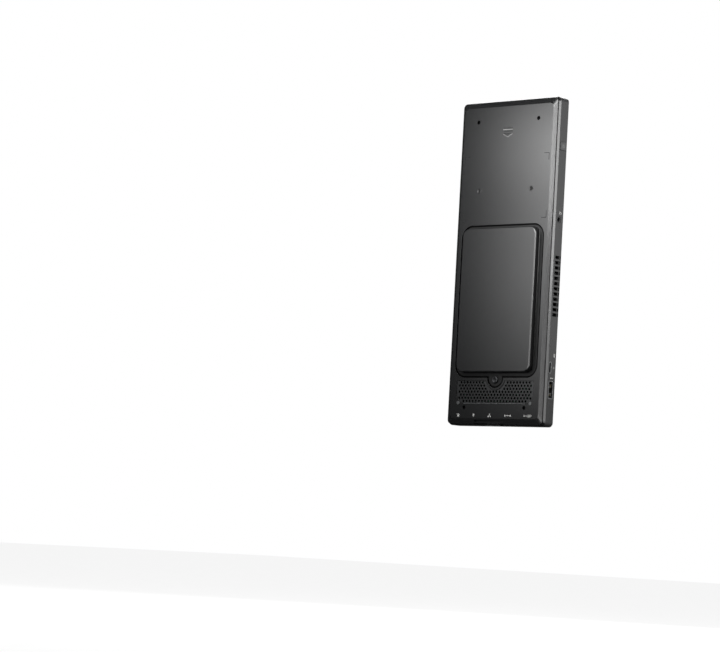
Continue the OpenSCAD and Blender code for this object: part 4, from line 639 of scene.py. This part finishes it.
flat_piece("mark_flat_port", [
    disc(-2.6, 0, 0.75), disc(2.6, 0, 0.75), bar(-2.6, 0, 2.6, 0, 0.4),
    [(-0.45, -0.55), (0.45, -0.55), (0.45, 0.55), (-0.45, 0.55)]],
    on_face(mark_at["end_flat_shell"], MARK_UP), FACE_AXES, *INK)
flat_piece("mark_oval_port", [
    oval_ring(1.7, 0, 4.4, 1.7, 0.3), bar(0.6, 0, 2.8, 0, 0.35), disc(-3.2, 0, 0.75),
    bar(-3.2, 0, -0.5, 0, 0.4)],
    on_face(mark_at["end_oval_shell"], MARK_UP), FACE_AXES, *INK)

# Printed marks on the ports side: rise above the port's middle and depth from the back, in mm
HEADSET_AT, SIDE_OVAL_AT, CHARGE_AT, SIDE_FLAT_AT = (5.2, 4.9), (9.4, 3.4), (0.0, 3.3), (9.2, 5.1)


def above_port(name, rise, depth):
    return on_side((middle(*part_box(name)).z - port_end) / MM + rise, depth)


flat_piece("mark_headset", [
    arc(0, 0, 0.85, 1.1, 0, 180), oval(-0.95, -0.35, 0.5, 0.95), oval(0.95, -0.35, 0.5, 0.95)],
    above_port("audio_jack", *HEADSET_AT), SIDE_AXES, *INK)
flat_piece("mark_side_oval", [oval_ring(0, 0, 1.3, 3.0, 0.28), bar(0, -0.7, 0, 0.7, 0.3)],
           above_port("side_oval_shell", *SIDE_OVAL_AT), SIDE_AXES, *INK)
flat_piece("mark_charge", [[(-0.6, -0.1), (0.15, 1.1), (0.1, 0.2), (0.6, 0.1), (-0.15, -1.1), (-0.1, -0.2)]],
           above_port("side_oval_shell", *CHARGE_AT), SIDE_AXES, *INK)
flat_piece("mark_side_flat", [disc(-1.4, 0, 0.42), disc(1.4, 0, 0.42), bar(-1.4, 0, 1.4, 0, 0.3)],
           above_port("side_flat_shell", *SIDE_FLAT_AT), SIDE_AXES, *INK)
flat_piece("mark_button", [arc(0, 0, 0.95, 1.2, 120, 420, 30), bar(0, 0.25, 0, 1.35, 0.26)],
           end_middle("power_button", 0, True), SIDE_AXES, grey_ink, "stake_plastic", body="button")

# Corner marks on the upper face
LABEL_X, LABEL_LOW, LABEL_HIGH = 42.2, 161.5, 212.0
LABEL_ARM, LABEL_RISE, LABEL_LINE = 4.8, 5.5, 0.42
corners = []
for side in (-1, 1):
    for up, way in ((LABEL_LOW, 1), (LABEL_HIGH, -1)):
        corners.append(bar(side * LABEL_X, up, side * (LABEL_X - LABEL_ARM), up, LABEL_LINE))
        corners.append(bar(side * LABEL_X, up, side * LABEL_X, up + way * LABEL_RISE, LABEL_LINE))
flat_piece("label_corners", corners, on_face(0, 0), FACE_AXES, dark_ink, "black_plastic", rise=0.012)

# Painted highlights in grey ink under the engraved slide arrow, standing for its lit lower walls, and beads
# round the dimples
ARROW_W, ARROW_TOP, ARROW_BAR, ARROW_SPACE, ARROW_TIP = 9.5, 234.0, 1.2, 1.1, 2.4
STROKE_DROP, STROKE_LINE, TIP_DROP, TIP_INSET, TIP_LINE = 0.45, 0.7, 0.35, 0.2, 0.45
half_arrow = ARROW_W / 2
stroke_up = ARROW_TOP - ARROW_BAR - STROKE_DROP
tip_up = ARROW_TOP - 2 * (ARROW_BAR + ARROW_SPACE)
# Grey ink lines painted as the highlights on the arrow's lit lower walls
highlight_strokes = [bar(-half_arrow, stroke_up, half_arrow, stroke_up, STROKE_LINE)]
for side in (-1, 1):
    highlight_strokes.append(bar(side * (half_arrow - TIP_INSET), tip_up - STROKE_DROP,
                       side * TIP_INSET, tip_up - ARROW_TIP - TIP_DROP, TIP_LINE))
flat_piece("arrow_painted_highlights", highlight_strokes, on_face(0, 0), FACE_AXES, grey_ink, "stake_plastic", rise=0.03)
DIMPLE_X, DIMPLE_UP = 26.1, 184.7
for i, across in enumerate((-DIMPLE_X, DIMPLE_X)):
    turned_piece(f"dimple_bead_{i + 1}", [(1.52, 0.0), (2.1, 0.0), (2.0, 0.04), (1.8, 0.06), (1.62, 0.04)],
                 on_face(across, DIMPLE_UP), FACE_AXES, cover_plastic)

# Bead along the lower edge of the grille's window, in the lighter stake plastic as a painted highlight line
GRILLE_BEAD_L, GRILLE_BEAD_DROP = 62.0, 0.25
stakes_up = (middle(*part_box("grille_stakes")).z - port_end) / MM
strip_row("grille_bead", [(-0.3, 0.0), (-0.15, 0.13), (0.0, 0.17), (0.15, 0.13), (0.3, 0.0)], GRILLE_BEAD_L,
          [0.0], on_face(0, stakes_up - GRILLE_BEAD_DROP), FACE_AXES, stake_plastic)

# Moulded marks on the lid
GATE_X, GATE_UP, GATE_R, GATE_LINE = (-22.8, 2.0), 150.5, 1.1, 0.22
lid_top = Vector((0, lid_y, port_end))
for i, across in enumerate(GATE_X):
    flat_piece(f"gate_mark_{i + 1}", [ring(across, GATE_UP, GATE_R, GATE_LINE)], lid_top, FACE_AXES,
               door_plastic, "door_plastic", "door", rise=0.04)

# Turned lips of the captive screw and of the round sockets
turned_piece("screw_lip", [(1.75, 0.0), (2.45, 0.0), (2.4, 0.08), (2.2, 0.16), (1.95, 0.14), (1.8, 0.06)],
             end_middle("tongue_screw", 1, False), FACE_AXES, dark_screw, "tongue_screw")
turned_piece("audio_sleeve", [(1.82, 0.0), (2.35, 0.0), (2.3, 0.1), (2.1, 0.16), (1.9, 0.12)],
             end_middle("audio_jack", 0, True), SIDE_AXES, black_moulding)
turned_piece("inlet_sleeve", [(2.77, 0.0), (3.25, 0.0), (3.2, 0.1), (3.0, 0.16), (2.85, 0.12)],
             end_middle("dc_jack", 2, False), END_AXES, port_steel)


# Bright lips of the ports' shells, a hair proud of the wall round them, in plain steel in front of the
# shells' painted shade
LIP_PROUD = 0.05


def shell_lip(spot, shape, line, radius):
    name = f"{spot}_{shape}_shell"
    axis, high = (0, True) if spot == "side" else (2, False)
    low, top = end_box(name, axis, high)
    size = (top - low) / MM
    if spot == "side":
        axes, width, height, rise = SIDE_AXES, size.y, size.z, (side_x - top.x) / MM
    else:
        axes, width, height, rise = END_AXES, size.x, size.y, (low.z - port_end) / MM
    flat_piece(f"{spot}_{shape}_lip", [oval_ring(0, 0, width, height, line, radius)], middle(low, top), axes,
               zinc_screw, "port_steel", rise=rise + LIP_PROUD)


for spot in ("side", "end"):
    shell_lip(spot, "flat", 0.32, 0.7)
    shell_lip(spot, "oval", 0.3, None)


# Contacts on the tongues of the ports, where there is room for them in mm
CONTACT_ROOM = 0.6


def port_contacts(spot, shape, count, pitch, width, length):
    name = f"{spot}_{shape}_tongue"
    axis, high = (0, True) if spot == "side" else (2, False)
    low, top = end_box(name, axis, high)
    block_low, block_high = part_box(name)
    centre = middle(low, top)
    across = Vector((0, 0, 1)) if spot == "side" else Vector((1, 0, 0))
    inwards = Vector((-1, 0, 0)) if spot == "side" else Vector((0, 0, 1))
    places = [(i - (count - 1) / 2) * pitch for i in range(count)]
    profile = [(0.5, 0.0), (0.6, 0.05), (length - 0.2, 0.05), (length, 0.0)]
    for label, out, edge, room in (
            ("face", Vector((0, -1, 0)), low.y, low.y - block_low.y),
            ("back", Vector((0, 1, 0)), top.y, block_high.y - top.y)):
        if room > CONTACT_ROOM * MM:
            start = Vector((centre.x, edge, centre.z))
            strip_row(f"{spot}_{shape}_contacts_{label}", profile, width, places, start,
                      (across, inwards, out), gold_contact)


for spot in ("side", "end"):
    port_contacts(spot, "flat", 4, 2.4, 1.1, 8.4)
    port_contacts(spot, "oval", 8, 0.68, 0.34, 3.6)


# Spring leaves inside the flat ports' shells
SHELL_WALL = 0.3


def shell_leaves(spot):
    name = f"{spot}_flat_shell"
    low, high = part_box(name)
    centre = middle(low, high)
    blade = middle(*end_box(f"{spot}_flat_tongue", 0 if spot == "side" else 2, spot == "side"))
    free_back = blade.y < centre.y
    wall = high.y - SHELL_WALL * MM if free_back else low.y + SHELL_WALL * MM
    out = Vector((0, -1 if free_back else 1, 0))
    if spot == "side":
        start, across, inwards = Vector((high.x, wall, centre.z)), Vector((0, 0, 1)), Vector((-1, 0, 0))
    else:
        start, across, inwards = Vector((centre.x, wall, low.z)), Vector((1, 0, 0)), Vector((0, 0, 1))
    profile = [(1.2, 0.0), (2.6, 0.32), (3.6, 0.5), (4.4, 0.32), (7.6, 0.0)]
    strip_row(f"{spot}_flat_leaves", profile, 2.2, [-3.3, 3.3], start, (across, inwards, out),
              port_steel)


shell_leaves("side")
shell_leaves("end")

# Camera at the photo's view, in metres and degrees
camera_at = Vector((1.359516, -1.683870, -0.224598))
camera_turn = math.radians(42.022)
camera_rise = math.radians(4.471)
camera_roll = math.radians(3.214)
lens = bpy.data.cameras.new("view")
lens.lens = 138.38
lens.sensor_width = 36.0
camera = bpy.data.objects.new("view", lens)
camera.matrix_world = (
    Matrix.Translation(camera_at)
    @ Matrix.Rotation(camera_turn, 4, "Z")
    @ Matrix.Rotation(math.pi / 2 + camera_rise, 4, "X")
    @ Matrix.Rotation(camera_roll, 4, "Z"))
bpy.context.scene.collection.objects.link(camera)
bpy.context.scene.camera = camera

# Plain pale floor, well below the module, which is shown held up
floor_drop = 0.165
floor_half = 6.0
floor_mesh = bmesh.new()
bmesh.ops.create_grid(floor_mesh, x_segments=8, y_segments=8, size=floor_half)
floor_data = bpy.data.meshes.new("floor")
floor_mesh.to_mesh(floor_data)
floor_mesh.free()
floor = bpy.data.objects.new("floor", floor_data)
floor.location.z = port_end - floor_drop
floor.visible_diffuse = False
floor.visible_glossy = False
bpy.context.scene.collection.objects.link(floor)
floor_paint, floor_tree, floor_shader = new_material("floor_paint")
floor_drift = use(floor_tree, tone_drift, Colour=grey(0.86), Other_colour=grey(0.84),
                  Roughness=0.8, Drift=0.05)
floor_tree.links.new(floor_drift["Colour"], floor_shader.inputs["Base Color"])
floor_tree.links.new(floor_drift["Roughness"], floor_shader.inputs["Roughness"])
floor_tree.links.new(floor_drift["Colour"], floor_shader.inputs["Emission Color"])
floor_shader.inputs["Emission Strength"].default_value = 1.0
floor.data.materials.append(floor_paint)

# Soft studio light: a white surround for the camera, and a dim one that glows behind the ports side
GLOW_FROM, GLOW_FOCUS, GLOW, SURROUND = Vector((0.667, 0.741, 0.078)), 4.0, 0.6, 0.03
world = bpy.data.worlds.new("studio")
world.use_nodes = True
sky = world.node_tree
side_glow = add(sky, "ShaderNodeVectorMath", {"operation": "DOT_PRODUCT"})
sky.links.new(sky.nodes.new("ShaderNodeTexCoord").outputs["Generated"], side_glow.inputs[0])
side_glow.inputs[1].default_value = GLOW_FROM.normalized()
towards = calc(sky, "MAXIMUM", side_glow.outputs["Value"], 0.0)
dim = calc(sky, "MULTIPLY_ADD", calc(sky, "POWER", towards, GLOW_FOCUS), GLOW, SURROUND)
seen = sky.nodes.new("ShaderNodeLightPath").outputs["Is Camera Ray"]
sky.links.new(calc(sky, "MAXIMUM", dim, seen), sky.nodes["Background"].inputs["Color"])
bpy.context.scene.world = world
bpy.context.scene.view_settings.view_transform = "Standard"


def soft_box(name, at, target, width, height, power):
    """A rectangular light that faces a target and that the camera doesn't see."""
    light = bpy.data.lights.new(name, "AREA")
    light.shape = "RECTANGLE"
    light.size = width
    light.size_y = height
    light.energy = power
    lamp = bpy.data.objects.new(name, light)
    lamp.location = at
    lamp.rotation_euler = (Vector(target) - Vector(at)).to_track_quat("-Z", "Y").to_euler()
    lamp.visible_camera = False
    bpy.context.scene.collection.objects.link(lamp)
    return light


def grade(light, start, stops):
    """Lets a soft box grow brighter from a start on its width, and follow stops of height and brightness."""
    light.use_nodes = True
    tree = light.node_tree
    place = tree.nodes.new("ShaderNodeSeparateXYZ")
    tree.links.new(tree.nodes.new("ShaderNodeNewGeometry").outputs["Parametric"], place.inputs[0])
    across = spread(tree, place.outputs["X"], start / light.size, 1.0, smooth=False)
    up = tree.nodes.new("ShaderNodeValToRGB")
    tree.links.new(place.outputs["Y"], up.inputs["Fac"])
    while len(up.color_ramp.elements) < len(stops):
        up.color_ramp.elements.new(1.0)
    for stop, (height, brightness) in zip(up.color_ramp.elements, stops):
        stop.position = height
        stop.color = grey(brightness)
    strength = calc(tree, "MULTIPLY", across, up.outputs["Color"])
    tree.links.new(strength, tree.nodes["Emission"].inputs["Strength"])


FACE_CARD_START = 0.18
FACE_CARD_STOPS = ((0.174, 0.0), (0.326, 0.21), (0.457, 0.42), (0.587, 0.5), (0.717, 1.0), (0.848, 0.0))
face_card = soft_box("face_card", (-0.19, -0.2, 0.03), (-0.19, 0.0, 0.03), 0.34, 0.46, 7.9)
grade(face_card, FACE_CARD_START, FACE_CARD_STOPS)
soft_box("key_card", (0.05, -0.2, 0.125), (0.05, 0.0, 0.125), 0.1, 0.15, 0.9)
soft_box("key_low_card", (0.05, -0.2, -0.055), (0.05, 0.0, -0.055), 0.1, 0.21, 0.34)
soft_box("side_card", (0.25, 0.05, 0.1), (0.048, 0.0, 0.08), 0.1, 0.2, 0.8)
soft_box("side_low_card", (0.25, 0.05, -0.08), (0.048, 0.0, -0.06), 0.1, 0.2, 0.32)
soft_box("side_front_card", (0.2, -0.12, 0.1), (0.048, 0.0, 0.08), 0.08, 0.2, 0.3)
soft_box("side_back_card", (0.2, 0.15, 0.05), (0.048, 0.0, 0.02), 0.15, 0.25, 0.074)
soft_box("back_box", (-0.25, 0.55, 0.25), (0.0, 0.0, 0.0), 0.5, 0.5, 4.0)
